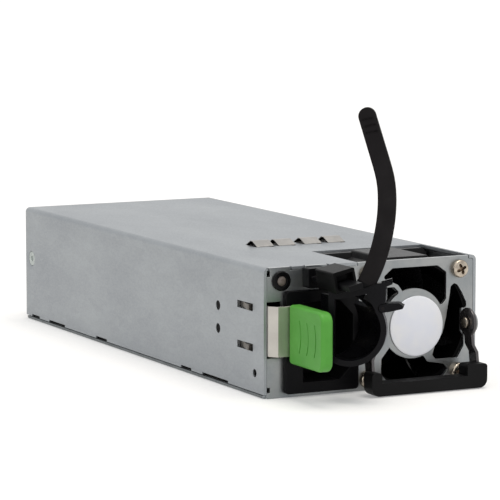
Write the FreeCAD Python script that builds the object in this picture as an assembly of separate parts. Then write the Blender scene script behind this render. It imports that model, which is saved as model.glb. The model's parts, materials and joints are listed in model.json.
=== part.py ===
import FreeCAD, Part
import math
import os

from FreeCAD import Vector

os.makedirs("parts", exist_ok=True)

# Redundant power supply for a one-unit server bay. All lengths are millimetres.
# The origin is the middle of the underside, +Y points from the handle end to the edge contacts,
# +Z is up, and +X is the right-hand side as seen by someone who faces the handle.

# Case
case_width = 73.5
case_height = 39.5
case_length = 185.0
sheet = 1.0
bend_radius = 1.6
fit_gap = 0.1
press_gap = 0.02
front_y = -case_length / 2
rear_y = case_length / 2
wall_inner_x = case_width / 2 - sheet
panel_half_width = wall_inner_x - fit_gap
panel_top_z = case_height - sheet - fit_gap
base_flange_height = 6.0
base_flange_start = 20.0
hem_notch_height = 2.0
hem_gap = 0.25
hem_bend = 0.7
hem_notches = [(24.0, 42.0), (50.0, 57.5), (115.0, 124.0), (150.5, 164.5), (173.0, 180.0)]
panel_tabs = [(0.65 - panel_half_width, 7.65 - panel_half_width), (13.05 - panel_half_width, 20.25 - panel_half_width)]
tab_relief = 0.7
corner_relief = (1.0, 1.6)
lower_relief_z = 1.8
flush_screw_inset = 4.5
flush_screw_z = 0.55 * case_height
flush_screw_head_radius = 2.5
flush_screw_shank_radius = 1.5
flush_screw_dimple_radius = 4.5
flush_screw_dimple_depth = 0.35
flush_screw_length = 4.0
flush_screw_socket = (0.9, 0.6)
pilot_hole_inset = 6.0
pilot_hole_z = 7.1
pilot_hole_radius = 1.25
rear_flange_length = 9.0
vent_pitch = 4.4
vent_radius = 1.6
vent_row_count = 5
vent_column_count = 6
vent_margin = 5.0
vent_start = 8.0

# Fan of the 40 mm class
fan_height_gap = 0.7
fan_width_share = 0.528
fan_wall_gap = 1.65
fan_floor_gap = 0.1
fan_side = min(case_height - fan_height_gap, case_width * fan_width_share)
fan_x = panel_half_width - fan_wall_gap - fan_side / 2
fan_z = fan_floor_gap + fan_side / 2
fan_depth = 28.0
fan_flange = 3.2
fan_hole_inset = 3.4
fan_hole_pitch = fan_side - 2 * fan_hole_inset
fan_hole_radius = 1.6
fan_bore_wall = 0.9
fan_bore_radius = fan_side / 2 - fan_bore_wall
fan_front_y = front_y + sheet
fan_rear_y = fan_front_y + fan_depth
fan_gap = 0.3
fan_corner_radius = 2.0
motor_plate_radius = 0.573 * fan_bore_radius
motor_plate_thickness = 2.0
strut_width = 2.2
bearing_tube_radius = 3.6
bearing_tube_start = 9.0
bearing_shoulder = 0.4
bearing_radius = 2.6
bearing_length = 2.6
shaft_radius = 1.0
running_gap = 0.05
stator_gap = 0.8
stator_length = 11.0
stator_slot = (1.8, 1.2)
magnet_thickness = 1.3
magnet_start = 5.0
hub_radius = motor_plate_radius
hub_wall = 1.3
hub_rim = 1.2
blade_count = 7
blade_tip_gap = 0.6
blade_thickness = 1.1
blade_pitch_angle = 38.0
blade_front_inset = 1.5
blade_rear_inset = 1.0
blade_root = 0.4
stator_radius = hub_radius - hub_wall - magnet_thickness - stator_gap
strut_angle = 30.0
rotor_front_gap = 1.6
rotor_rear_gap = 1.4

# Guard that is cut out of the front panel, as a pinwheel of four openings
guard_hub_radius = 10.8
guard_radius = 18.5
guard_corner = 0.7
guard_top = [(-5.4, 12.2), (-10.9, 14.6), (-7.4, 17.4), (8.5, 17.4), (11.6, 15.2), (11.6, 6.8), (10.2, 5.3), (0.0, 5.0)]
guard_right = [(12.9, 8.4), (13.2, 10.6), (14.4, 11.6), (15.6, 11.0), (17.2, 8.6), (18.8, 5.4), (18.8, 3.6),
               (16.9, 3.6), (16.9, -3.6), (18.0, -4.8), (18.0, -8.1), (15.8, -11.7), (8.0, -11.7), (6.8, -10.2),
               (7.9, -7.0), (10.4, -3.7), (11.6, 1.0)]
guard_bottom = [(-5.0, -5.0), (-8.2, -6.8), (-11.1, -10.3), (-11.2, -14.9), (-8.6, -17.9), (6.8, -17.9), (11.0, -16.8),
                (12.4, -14.8), (11.0, -13.3), (5.2, -12.2), (3.2, -9.8)]
guard_left = [(-z, x) for x, z in guard_top]
label_radius = 9.3
label_thickness = 0.6
label_offset = (0.7, -0.5)
screw_head_radius = 2.8
screw_head_height = 2.1
screw_shank_radius = 1.4
screw_length = 9.0
screw_rim = 1.0
screw_recess = (1.5, 1.2)
screw_clearance = 0.3

# Spring fingers for earthing in the top
finger_xs = [-12.4, -4.7, 4.6, 13.0]
finger_length = 6.0
finger_start = 46.4
finger_depth = 7.5
finger_rise = 1.6
finger_sheet = 0.25
finger_window_gap = 0.3
finger_margin = 3.0
finger_crest = (0.45, 0.62)
finger_hook = (1.1, 2.7, 1.3)

# Power inlet, turned on its side
inlet_wall_gap = 5.35
inlet_fan_gap = 0.6
inlet_floor_gap = 1.2
inlet_head_gap = 6.1
inlet_flange = (inlet_wall_gap - panel_half_width, fan_x - fan_side / 2 - inlet_fan_gap, inlet_floor_gap,
                panel_top_z - inlet_head_gap)
inlet_recess_width = 16.8
inlet_recess_rim = 3.45
inlet_recess = (inlet_recess_width, inlet_flange[3] - inlet_flange[2] - 2 * inlet_recess_rim)
inlet_x = inlet_flange[1] - 10.6
inlet_z = (inlet_flange[2] + inlet_flange[3]) / 2 - 0.15
inlet_chamfer = 4.6
inlet_wall = 1.6
inlet_recess_depth = 15.0
inlet_floor = 2.0
inlet_flange_thickness = 2.0
inlet_flange_corner = 1.2
inlet_floor_y = front_y - inlet_flange_thickness + inlet_recess_depth
pin_spacing = inlet_recess[1] - 10.2
pin_stagger = 4.0
pin_size = (4.0, 2.0)
pin_front = 3.0
pin_tail = 6.0
pin_chamfer = 0.5

# Status light
light_x = 4.65 - panel_half_width
light_z = panel_top_z - 3.0
light_holder_radius = 3.0
light_lens_radius = 1.55
light_body_radius = 2.3
light_body_length = 6.0
light_flange = 0.9
light_flange_rim = 0.4
light_lens_lift = 0.1
light_lens_rim = 0.5
light_board = (10.0, 6.0, 1.2)
light_board_gap = 0.2

# Leaf-spring latch on the left wall
latch_sheet = 0.5
latch_z = case_height / 2 + 0.75
latch_height = 15.2
latch_root = 34.5
latch_rivet_depth = 30.8
latch_rivet_zs = (latch_z - 3.1, latch_z + 4.0)
latch_rivet_radius = 1.45
latch_rivet_head = (2.5, 0.6)
latch_rivet_inset = 0.2
latch_step_x = 2.05 - panel_half_width
latch_step_depth = 0.7
latch_flange_depth = 3.0
latch_blade_x = 7.95 - panel_half_width
latch_blade_depth = 17.0
latch_blade_step = 2.0
latch_travel_gap = 0.35
nib_zs = (latch_z - 5.9, latch_z + 6.3)
nib_height = 1.8
nib_span = (8.4, 16.4)
nib_reach = 0.8
nib_point = 1.2
nib_slot = (7.2, 17.6, 2.2)
tab_face_x = 5.45 - panel_half_width
tab_thickness = 3.9
tab_span = (3.5, 24.4)
tab_z = (latch_z - 9.6, latch_z + 8.2)
tab_corner = 3.0
tab_root_corner = 1.2
tab_edge = 0.9
groove_depths = (11.2, 15.9, 20.6)
groove_radius = 12.0
groove_size = (0.4, 0.25)
groove_margin = 4.0
panel_slot = (4.75 - panel_half_width, latch_z - 8.3, latch_z + 8.7)

# Bail handle
handle_x = fan_x - 0.6
handle_half_span = fan_side / 2 - 2.8
handle_pivot_depth = 5.0
handle_pivot_z = fan_z - 0.1
arm_sheet = 1.0
arm_joggle = 1.2
arm_joggle_z = (10.4, 12.8)
arm_lobe_radius = 4.5
arm_width = 4.4
arm_foot = (7.7, 2.2)
arm_side_gap = 0.15
ear_radius = 3.2
handle_rivet_radius = 1.2
handle_rivet_head = (1.7, 0.9)
handle_rivet_tail = (1.8, 0.6)
handle_rivet_gap = 0.06
grip_x = (handle_x - handle_half_span - 4.3, handle_x + handle_half_span + 2.7)
grip_depth = (4.6, 13.0)
grip_z = (0.3, 4.2)
grip_left_post = (3.5, 7.4)
grip_right_post = (7.0, 7.7)
grip_corner = 2.6
grip_edge = 1.0

# Cord clamp: a rail on the panel, a slider on the rail, and a strap with a loop, a head and a tail
rail_x = inlet_x - 4.3
rail_z = panel_top_z - 2.3
rail_foot = (7.0, 6.0, 4.0)
rail_bar = (4.6, 1.8, 27.0)
rail_peg = (4.0, 3.0, 5.0)
rail_foot_corner = 0.6
rail_root = 0.5
rail_barb = 0.5
clamp_roll_angle = -12.0
slider_size = (7.2, 6.4)
slider_span = (9.7, 21.0)
slider_lift = 1.3
slider_gap = 0.15
slider_corner = 0.5
slider_mouth = (5.4, 4.0, 2.2)
loop_x = inlet_x - 1.5
loop_depth = 18.0
loop_z = rail_z - 13.5
loop_turn_angle = 35.0
loop_inner_radius = 9.4
loop_band = 1.7
loop_flat = -6.1
loop_seam_angle = 4.0
loop_end_angle = 36.0
loop_top = [(-6.1, 8.8), (-2.5, 9.0), (5.1, 10.6), (7.0, 12.8), (5.2, 12.5), (-2.5, 10.9), (-6.1, 10.7)]
strap_head = [(5.1, 10.6), (8.1, 5.1), (9.4, 5.2), (10.9, 8.9), (10.9, 12.9), (12.4, 13.7), (12.1, 14.7), (7.6, 13.5),
              (5.2, 12.5)]
lug_length = 4.5
strap_half_width = 2.0
lug_height = 2.5
collar_rear_depth = 7.3
tail_start = (4.9, 13.5)
tail_heading_angle = 63.0
tail_bends = [(55.0, 27.0), (33.0, 17.0)]
tail_straight = 15.4
tail_step_count = 3
tail_widths = (5.5, 5.2)
tail_half_thickness = 0.9
lever_hinge = (10.0, 6.4)
lever_pin_radius = 0.5
knuckle_radius = 1.1
knuckle_half_width = 0.8
cheek_radius = 1.2
cheek_gap = 0.25
cheek_side_gap = 0.15
lever_plate = [(11.5, 8.0), (14.7, 8.1), (16.1, 7.2), (15.8, 6.4), (11.3, 5.3)]
lever_neck = [(12.0, 5.5), (12.0, 7.9)]

# Main board and what stands on it
standoff_height = 5.0
standoff_radius = 2.75
board_wall_gap = 2.65
board_half_width = panel_half_width - board_wall_gap
board_fan_gap = 3.0
board_front = sheet + fan_depth + board_fan_gap
board_rear_gap = 0.8
board_thickness = 1.6
board_z = sheet + standoff_height
board_top = board_z + board_thickness
edge_shoulder = 6.0
edge_half_width = board_half_width - edge_shoulder
edge_reach = 9.0
contact_thickness = 0.1
contact_pitch = 2.5
contact_width = 1.8
power_contact_width = 8.0
standoff_side_inset = 3.0
standoff_end_insets = (3.5, 5.2)
board_screw_head = (2.8, 1.8)
sheet_insulator = 0.3
seat_gap = 0.1
layout_half_width = 33.0
layout_length = 151.2
layout_height = 30.8
across_scale = board_half_width / layout_half_width
along_scale = (case_length - sheet - board_rear_gap - board_front) / layout_length
upward_scale = (panel_top_z - board_top) / layout_height
axial_round_scale = min(across_scale, upward_scale)
upright_round_scale = min(across_scale, along_scale)
bulk_radius = 14.0
bulk_xs = (-12.5, 16.3)
bulk_gap = 2.2
bulk_rear_gap = 4.5
bulk_rim = 1.0
bulk_groove = (5.0, 1.6, 0.6)
slot_gap = 0.3
board_hole_radius = 1.6
board_screw_radius = 1.3
board_screw_slot = (1.4, 0.35, 0.9)
standoff_bore_radius = 1.35
contact_margin = 1.0
contact_tip = 0.6
choke_x = -21.5
choke_start = 25.0
choke_lift = 12.6
choke_core = (12.0, 6.5, 13.0)
choke_winding = 0.6
choke_turn_count = 18
choke_groove = (0.7, 0.4)
choke_bare_width = 4.0
transformer_span = (-30.0, 2.0)
rear_block_length = 49.2
transformer_start = layout_length - rear_block_length
transformer_span_along = (transformer_start, transformer_start + 26.0)
transformer_height = 28.0
transformer_leg = 4.0
transformer_middle_leg = 9.0
transformer_bar = 5.0
transformer_winding_gap = 0.2
transformer_winding_overhang = 3.5
transformer_winding_corner = 6.0
filter_choke_x = -18.0
filter_choke_span_along = (6.5, 22.5)
filter_choke_base = (9.0, 2.0)
filter_choke_ring = (8.5, 4.2, 11.0)
filter_choke_seat = 0.7
filter_choke_ring_start = 9.0
film_capacitor_box = (-7.5, 10.5, 4.0, 14.0, 15.0)
film_capacitor_corner = 1.0
fuse_start_x = -7.5
fuse_place = 19.0
fuse_lift = 3.6
fuse_glass = (2.6, 20.0)
fuse_cap = (3.1, 5.0)
fuse_cap_reach = 0.5
fuse_foot = (2.0, 2.0)
relay_box = (13.6, 27.0, 4.0, 24.0, 16.0)
relay_corner = 0.8
bridge_box = (12.0, 31.5, 28.2, 32.2, 19.0)
sink_plate = 2.0
sink_fin = 1.2
sink_depth = 13.0
sink_height = 24.0
primary_sink = (-5.0, 31.0, 32.2)
primary_fin_count = 9
secondary_sink = (5.0, 30.0, transformer_start + 5.4)
secondary_fin_count = 7
transistor_size = (10.0, 4.5, 20.0)
transistor_gap = 0.1
primary_transistor_xs = (-4.5, 7.0, 18.5)
secondary_transistor_xs = (7.0, 18.5)
output_can = (4.0, 16.0)
output_can_xs = (-26.0, -16.5, -7.0, 2.5, 12.0, 21.5)
output_can_place = transformer_start + 36.5
output_can_rim = 0.6
inductor_box = (7.0, 29.0, transformer_start + 22.0, transformer_start + 32.0, 11.0)
inductor_corner = 1.5
card_x = (31.2, 32.8)
card_span_along = (36.0, 98.0)
card_height = 26.0
plug_x = (-4.0, 6.0)
plug_depth = 0.5
plug_size = (3.0, 6.0)
fan_wire_radius = 0.6
fan_wire_count = 4
fan_wire_lift = 2.0
inlet_wire_radius = 1.3
inlet_wire_bend = 4.0
inlet_wire_landing = 1.9
inlet_wire_row = 3.1


def box(x0, x1, y0, y1, z0, z1):
    return Part.makeBox(x1 - x0, y1 - y0, z1 - z0, Vector(x0, y0, z0))


def rod(radius, start, direction, length):
    return Part.makeCylinder(radius, length, Vector(*start), Vector(*direction))


def tube(outer, inner, start, direction, length):
    return rod(outer, start, direction, length).cut(rod(inner, start, direction, length))


def face_of(points):
    return Part.Face(Part.makePolygon([Vector(*p) for p in points] + [Vector(*points[0])]))


def plate_xz(points, y0, y1):
    return face_of([(x, y0, z) for x, z in points]).extrude(Vector(0, y1 - y0, 0))


def plate_yz(points, x0, x1):
    return face_of([(x0, y, z) for y, z in points]).extrude(Vector(x1 - x0, 0, 0))


def plate_xy(points, z0, z1):
    return face_of([(x, y, z0) for x, y in points]).extrude(Vector(0, 0, z1 - z0))


def join(shapes):
    first, rest = shapes[0], shapes[1:]
    return first.multiFuse(rest).removeSplitter() if rest else first


def less(shape, tools):
    return shape.cut(tools)


def group(shapes):
    return Part.Compound(shapes)


def edges_along(shape, axis, where):
    """Edges parallel to an axis whose middle point passes a test."""
    found = []
    for edge in shape.Edges:
        if len(edge.Vertexes) != 2:
            continue
        step = edge.Vertexes[1].Point - edge.Vertexes[0].Point
        if step.Length > 0 and abs(abs(step.normalize().dot(axis)) - 1) < 1e-6 and where(edge.CenterOfMass):
            found.append(edge)
    return found


def rounded(shape, radius, axis, where=lambda point: True):
    return shape.makeFillet(radius, edges_along(shape, Vector(*axis), where))


def thick_line(points, thickness):
    """Outline of a bent strip: the given side of it, then the other side mitred back."""
    normals = []
    for (x0, y0), (x1, y1) in zip(points, points[1:]):
        length = math.hypot(x1 - x0, y1 - y0)
        normals.append(((y1 - y0) / length, -(x1 - x0) / length))
    other = []
    for index, (x, y) in enumerate(points):
        before = normals[max(index - 1, 0)]
        after = normals[min(index, len(normals) - 1)]
        nx, ny = before[0] + after[0], before[1] + after[1]
        scale = 2 * thickness / (nx * nx + ny * ny)
        other.append((x + nx * scale, y + ny * scale))
    return points + other[::-1]


def depth(value):
    """Y of a point that lies this far behind the front panel's outer face."""
    return front_y + value


def mirrored_fan_corners():
    half = fan_hole_pitch / 2
    return [(fan_x + sx * half, fan_z + sz * half) for sx in (-1, 1) for sz in (-1, 1)]


# ---------------------------------------------------------------- case

def fan_notch(z0, z1):
    half = fan_side / 2
    return box(fan_x - half - fan_gap, fan_x + half + fan_gap, front_y - 1, fan_rear_y + fan_gap, z0, z1)


def flush_screw_axis():
    return rear_y - flush_screw_inset, flush_screw_z


def finger_hook_slots():
    x0, x1, length = finger_hook
    return [box(x + x0, x + x1, depth(finger_start - length), depth(finger_start),
                case_height - 2 * sheet, case_height + 1) for x in finger_xs]


def make_cover():
    outer = box(-case_width / 2, case_width / 2, front_y, rear_y, sheet + hem_gap, case_height)
    outer = rounded(outer, bend_radius, (0, 1, 0), lambda p: p.z > case_height / 2)
    inner = box(-wall_inner_x, wall_inner_x, front_y - 1, rear_y + 1, -1, case_height - sheet)
    inner = rounded(inner, bend_radius - sheet, (0, 1, 0), lambda p: p.z > case_height / 2)
    cover = outer.cut(inner)
    cuts = [fan_notch(case_height / 2, case_height + 1)]
    for x in finger_xs:
        half = finger_length / 2 + finger_window_gap
        cuts.append(box(x - half, x + half, depth(finger_start - finger_window_gap),
                        depth(finger_start + finger_depth + finger_window_gap),
                        case_height - sheet - 1, case_height + 1))
    cuts += finger_hook_slots()
    for x0, x1 in panel_tabs:
        cuts.append(box(x0 - tab_relief, x1 + tab_relief, front_y - 1, front_y + sheet + fit_gap,
                        case_height - sheet - 1, case_height + 1))
    left = -case_width / 2
    for z in nib_zs:
        cuts.append(box(left - 1, left + sheet + 0.5, depth(nib_slot[0]), depth(nib_slot[1]),
                        z - nib_slot[2] / 2, z + nib_slot[2] / 2))
    for z in latch_rivet_zs:
        cuts.append(rod(latch_rivet_radius + running_gap, (left - 1, depth(latch_rivet_depth), z), (1, 0, 0), 3))
    cuts.append(rod(pilot_hole_radius, (left - 1, depth(pilot_hole_inset), pilot_hole_z), (1, 0, 0), 3))
    screw_y, screw_z = flush_screw_axis()
    for side in (-1, 1):
        x = side * case_width / 2
        cuts.append(rod(flush_screw_head_radius + fit_gap, (x + side, screw_y, screw_z), (-side, 0, 0), 3))
        cuts.append(Part.makeCone(flush_screw_dimple_radius, flush_screw_head_radius + fit_gap,
                                  flush_screw_dimple_depth, Vector(x, screw_y, screw_z), Vector(-side, 0, 0)))
        for y0, y1 in hem_notches:
            cuts.append(box(x - 1.5, x + 1.5, depth(y0), depth(y1), -1, hem_notch_height))
    return less(cover, cuts)


def make_base():
    plate = box(-panel_half_width, panel_half_width, front_y + sheet, rear_y - sheet, 0, sheet)
    hems = []
    for side in (-1, 1):
        x0, x1 = sorted((side * (panel_half_width - sheet), side * case_width / 2))
        hem = box(x0, x1, front_y + sheet, rear_y - sheet, 0, sheet)
        hems.append(rounded(hem, hem_bend, (0, 1, 0), lambda p: p.z < sheet / 2 and abs(p.x) > panel_half_width))
    flanges = [box(-panel_half_width, -panel_half_width + sheet, depth(base_flange_start), rear_y - sheet, 0,
                   base_flange_height),
               box(panel_half_width - sheet, panel_half_width, fan_rear_y + 1, rear_y - sheet, 0,
                   base_flange_height)]
    return less(join([plate] + hems + flanges), [fan_notch(-1, sheet + 1)])


def guard_openings():
    """The four openings of the guard, a pinwheel about the fan's axis, in proportion to the fan's bore."""
    ratio = fan_bore_radius / guard_radius
    hub = rod(guard_hub_radius * ratio, (fan_x, front_y - 2, fan_z), (0, 1, 0), sheet + 4)
    openings = []
    for outline in (guard_top, guard_right, guard_bottom, guard_left):
        points = [(fan_x + ratio * x, fan_z + ratio * z) for x, z in outline]
        blade = rounded(plate_xz(points, front_y - 1, front_y + sheet + 1), guard_corner, (0, 1, 0))
        openings.append(blade.cut(hub))
    return openings


def ear(side):
    """Ear that is bent forward from the guard to carry one end of the handle."""
    inner = handle_x + side * (handle_half_span + arm_sheet + arm_side_gap)
    outer = inner + side * sheet
    x0, x1 = min(inner, outer), max(inner, outer)
    pivot_y = front_y - handle_pivot_depth
    body = box(x0, x1, pivot_y, front_y + sheet, handle_pivot_z - ear_radius, handle_pivot_z + ear_radius)
    tip = rod(ear_radius, (x0, pivot_y, handle_pivot_z), (1, 0, 0), x1 - x0)
    hole = rod(handle_rivet_radius + press_gap, (x0 - 1, pivot_y, handle_pivot_z), (1, 0, 0), x1 - x0 + 2)
    return join([body, tip]).cut(hole)


def inlet_outline(grow):
    half_w, half_h = inlet_recess[0] / 2 + grow, inlet_recess[1] / 2 + grow
    cut = inlet_chamfer
    return [(inlet_x - half_w, inlet_z - half_h), (inlet_x + half_w - cut, inlet_z - half_h),
            (inlet_x + half_w, inlet_z - half_h + cut), (inlet_x + half_w, inlet_z + half_h - cut),
            (inlet_x + half_w - cut, inlet_z + half_h), (inlet_x - half_w, inlet_z + half_h)]


def square_panel(y0, y1):
    """End plate that fills the case's section, with its top corners eased to clear the cover's bends."""
    plate = box(-panel_half_width, panel_half_width, y0, y1, 0, panel_top_z)
    return rounded(plate, bend_radius - sheet + fit_gap, (0, 1, 0), lambda p: p.z > case_height / 2)


def make_front_panel():
    y0, y1 = front_y, front_y + sheet
    plate = square_panel(y0, y1)
    tabs = [box(x0, x1, y0, y1, panel_top_z - 1, case_height) for x0, x1 in panel_tabs]
    half = fan_side / 2
    crown = box(fan_x - half, fan_x + half, y0, y1, panel_top_z - 1, case_height - fit_gap)
    panel = join([plate, crown] + tabs)
    panel = less(panel, guard_openings())
    width, height = corner_relief
    edge = -panel_half_width
    cuts = [box(edge - 1, edge + width, y0 - 1, y1 + 1, panel_top_z - height, panel_top_z + 1),
            box(edge - 1, edge + width, y0 - 1, y1 + 1, lower_relief_z, lower_relief_z + height),
            box(edge - 1, panel_slot[0], y0 - 1, y1 + 1, panel_slot[1], panel_slot[2]),
            plate_xz(inlet_outline(inlet_wall + fit_gap), y0 - 1, y1 + 1),
            rod(light_body_radius + fit_gap, (light_x, y0 - 1, light_z), (0, 1, 0), sheet + 2),
            box(rail_x - rail_peg[0] / 2 - fit_gap, rail_x + rail_peg[0] / 2 + fit_gap, y0 - 1, y1 + 1,
                rail_z - rail_peg[1] / 2 - fit_gap, rail_z + rail_peg[1] / 2 + fit_gap)]
    for x, z in mirrored_fan_corners():
        cuts.append(rod(screw_shank_radius + screw_clearance, (x, y0 - 1, z), (0, 1, 0), sheet + 2))
    return join([less(panel, cuts), ear(-1), ear(1)])


def make_rear_panel():
    y0, y1 = rear_y - sheet, rear_y
    panel = square_panel(y0, y1)
    screw_y, screw_z = flush_screw_axis()
    flanges = []
    for side in (-1, 1):
        a, b = side * panel_half_width, side * (panel_half_width - sheet)
        flange = box(min(a, b), max(a, b), rear_y - rear_flange_length, y1, base_flange_height + 1,
                     panel_top_z - 2)
        hole = rod(flush_screw_shank_radius + fit_gap, (a + side, screw_y, screw_z), (-side, 0, 0),
                   sheet + 3)
        flanges.append(flange.cut(hole))
    panel = join([panel] + flanges)
    cuts = [box(-edge_half_width - slot_gap, edge_half_width + slot_gap, y0 - 1, y1 + 1,
                board_z - contact_thickness - slot_gap, board_top + contact_thickness + slot_gap)]
    for row in range(vent_row_count):
        shift = vent_pitch / 2 if row % 2 else 0
        for column in range(-vent_column_count, vent_column_count + 1):
            x = column * vent_pitch + shift
            if abs(x) < panel_half_width - vent_margin:
                z = board_top + vent_start + row * vent_pitch * math.sin(math.radians(60))
                cuts.append(rod(vent_radius, (x, y0 - 1, z), (0, 1, 0), sheet + 2))
    return less(panel, cuts)


def make_flush_screws():
    screw_y, screw_z = flush_screw_axis()
    screws = []
    for side in (-1, 1):
        face_x = side * (case_width / 2 - flush_screw_dimple_depth)
        head = rod(flush_screw_head_radius, (face_x, screw_y, screw_z), (-side, 0, 0),
                   sheet - flush_screw_dimple_depth + fit_gap)
        shank = rod(flush_screw_shank_radius, (face_x, screw_y, screw_z), (-side, 0, 0),
                    flush_screw_length)
        socket = rod(flush_screw_socket[0], (face_x + side, screw_y, screw_z), (-side, 0, 0), 1 + flush_screw_socket[1])
        screws.append(join([head, shank]).cut(socket))
    return group(screws)


def make_finger_strip():
    """Thin plate under the top, with one tent-shaped finger that stands up through each window."""
    z1 = case_height - sheet
    z0 = z1 - finger_sheet
    y0, y1 = depth(finger_start), depth(finger_start + finger_depth)
    plate = box(finger_xs[0] - finger_length, finger_xs[-1] + finger_length, y0 - finger_margin,
                y1 + finger_margin, z0, z1)
    fingers = []
    cuts = []
    for x in finger_xs:
        x0, x1 = x - finger_length / 2, x + finger_length / 2
        cuts.append(box(x0, x1, y0 + finger_sheet, y1 - finger_sheet, z0 - 1, z1 + 1))
        top = case_height + finger_rise - finger_sheet
        line = [(y0 + finger_sheet, z0), (y0 + finger_sheet, case_height), (y0 + finger_crest[0] * finger_depth, top),
                (y0 + finger_crest[1] * finger_depth, top), (y1 - finger_sheet, case_height),
                (y1 - finger_sheet, z0)]
        fingers.append(plate_yz(thick_line(line, -finger_sheet), x0, x1))
    return join([less(plate, cuts + finger_hook_slots())] + fingers)


# ---------------------------------------------------------------- fan

def make_fan_frame():
    half = fan_side / 2
    flanges = []
    for y in (fan_front_y, fan_rear_y - fan_flange):
        flange = box(fan_x - half, fan_x + half, y, y + fan_flange, fan_z - half, fan_z + half)
        flanges.append(rounded(flange, fan_corner_radius, (0, 1, 0)))
    barrel = rod(half, (fan_x, fan_front_y, fan_z), (0, 1, 0), fan_depth)
    frame = join(flanges + [barrel])
    cuts = [rod(fan_bore_radius, (fan_x, fan_front_y - 1, fan_z), (0, 1, 0), fan_depth + 2)]
    for x, z in mirrored_fan_corners():
        cuts.append(rod(fan_hole_radius, (x, fan_front_y - 1, z), (0, 1, 0), fan_depth + 2))
    frame = less(frame, cuts)
    plate_y = fan_rear_y - motor_plate_thickness
    tube_y = fan_front_y + bearing_tube_start
    motor = [rod(motor_plate_radius, (fan_x, plate_y, fan_z), (0, 1, 0), motor_plate_thickness),
             rod(bearing_tube_radius, (fan_x, tube_y, fan_z), (0, 1, 0), plate_y - tube_y)]
    for turn in range(4):
        strut = box(-strut_width / 2, strut_width / 2, plate_y, fan_rear_y, motor_plate_radius - 0.5,
                    fan_bore_radius + 0.5)
        strut.rotate(Vector(0, 0, 0), Vector(0, 1, 0), 90 * turn + strut_angle)
        strut.translate(Vector(fan_x, 0, fan_z))
        motor.append(strut)
    bore = rod(bearing_radius, (fan_x, tube_y - 1, fan_z), (0, 1, 0), plate_y - tube_y + 1)
    return less(join([frame] + motor), [bore])


def bearing_starts():
    front = fan_front_y + bearing_tube_start + bearing_shoulder
    return front, fan_rear_y - motor_plate_thickness - bearing_length - bearing_shoulder


def make_bearings():
    return group([tube(bearing_radius - 0.01, shaft_radius + running_gap, (fan_x, y, fan_z), (0, 1, 0),
                       bearing_length) for y in bearing_starts()])


def rotor_span():
    return fan_front_y + rotor_front_gap, fan_rear_y - motor_plate_thickness - rotor_rear_gap


def make_shaft():
    start = rotor_span()[0] + hub_wall
    end = fan_rear_y - motor_plate_thickness - 0.3
    return rod(shaft_radius, (fan_x, start, fan_z), (0, 1, 0), end - start)


def make_rotor():
    y0, y1 = rotor_span()
    hub = rod(hub_radius, (fan_x, y0, fan_z), (0, 1, 0), y1 - y0)
    hub = rounded_rim(hub, hub_rim, y0)
    hollow = rod(hub_radius - hub_wall, (fan_x, y0 + hub_wall, fan_z), (0, 1, 0), y1 - y0)
    tip = fan_bore_radius - blade_tip_gap
    blade_y0, blade_y1 = y0 + blade_front_inset, y1 - blade_rear_inset
    envelope = tube(tip, hub_radius - blade_root, (0, blade_y0, 0), (0, 1, 0), blade_y1 - blade_y0)
    long = (blade_y1 - blade_y0) / math.cos(math.radians(blade_pitch_angle))
    blades = []
    for index in range(blade_count):
        blade = box(-blade_thickness / 2, blade_thickness / 2, -long / 2, long / 2, hub_radius - 1, tip + 1)
        blade.rotate(Vector(0, 0, 0), Vector(0, 0, 1), blade_pitch_angle)
        blade.translate(Vector(0, (blade_y0 + blade_y1) / 2, 0))
        blade = blade.common(envelope)
        blade.rotate(Vector(0, 0, 0), Vector(0, 1, 0), 360.0 * index / blade_count)
        blade.translate(Vector(fan_x, 0, fan_z))
        blades.append(blade)
    return join([hub] + blades).cut(hollow)


def rounded_rim(solid, radius, y):
    edges = [e for e in solid.Edges if isinstance(e.Curve, Part.Circle) and abs(e.CenterOfMass.y - y) < 1e-6]
    return solid.makeFillet(radius, edges)


def make_magnet():
    y0, y1 = rotor_span()
    start = y0 + hub_wall + magnet_start
    return tube(hub_radius - hub_wall, hub_radius - hub_wall - magnet_thickness, (fan_x, start, fan_z),
                (0, 1, 0), y1 - start - 0.5)


def make_stator():
    end = fan_rear_y - motor_plate_thickness - 0.2
    start = end - stator_length
    ring = tube(stator_radius, bearing_tube_radius + press_gap, (0, start, 0), (0, 1, 0), stator_length)
    slots = []
    slot_width, slot_floor = stator_slot
    for turn in range(4):
        slot = box(-slot_width / 2, slot_width / 2, start - 1, end + 1, bearing_tube_radius + slot_floor,
                   stator_radius + 1)
        slot.rotate(Vector(0, 0, 0), Vector(0, 1, 0), 90 * turn + 45)
        slots.append(slot)
    stator = less(ring, slots)
    stator.translate(Vector(fan_x, 0, fan_z))
    return stator


def cross_recess(x, y, z, size, deep):
    """Two crossed bars to cut a driver recess into a head that faces -Y."""
    return [box(x - size, x + size, y - 1, y + deep, z - size / 4, z + size / 4),
            box(x - size / 4, x + size / 4, y - 1, y + deep, z - size, z + size)]


def make_fan_screws():
    screws = []
    for x, z in mirrored_fan_corners():
        head = rod(screw_head_radius, (x, front_y - screw_head_height, z), (0, 1, 0), screw_head_height)
        head = rounded_rim(head, screw_rim, front_y - screw_head_height)
        shank = rod(screw_shank_radius, (x, front_y, z), (0, 1, 0), screw_length)
        screw = join([head, shank])
        screws.append(less(screw, cross_recess(x, front_y - screw_head_height, z, *screw_recess)))
    return group(screws)


def make_label():
    return rod(label_radius, (fan_x + label_offset[0], front_y - label_thickness, fan_z + label_offset[1]),
               (0, 1, 0), label_thickness)


# ---------------------------------------------------------------- front fittings

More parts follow.
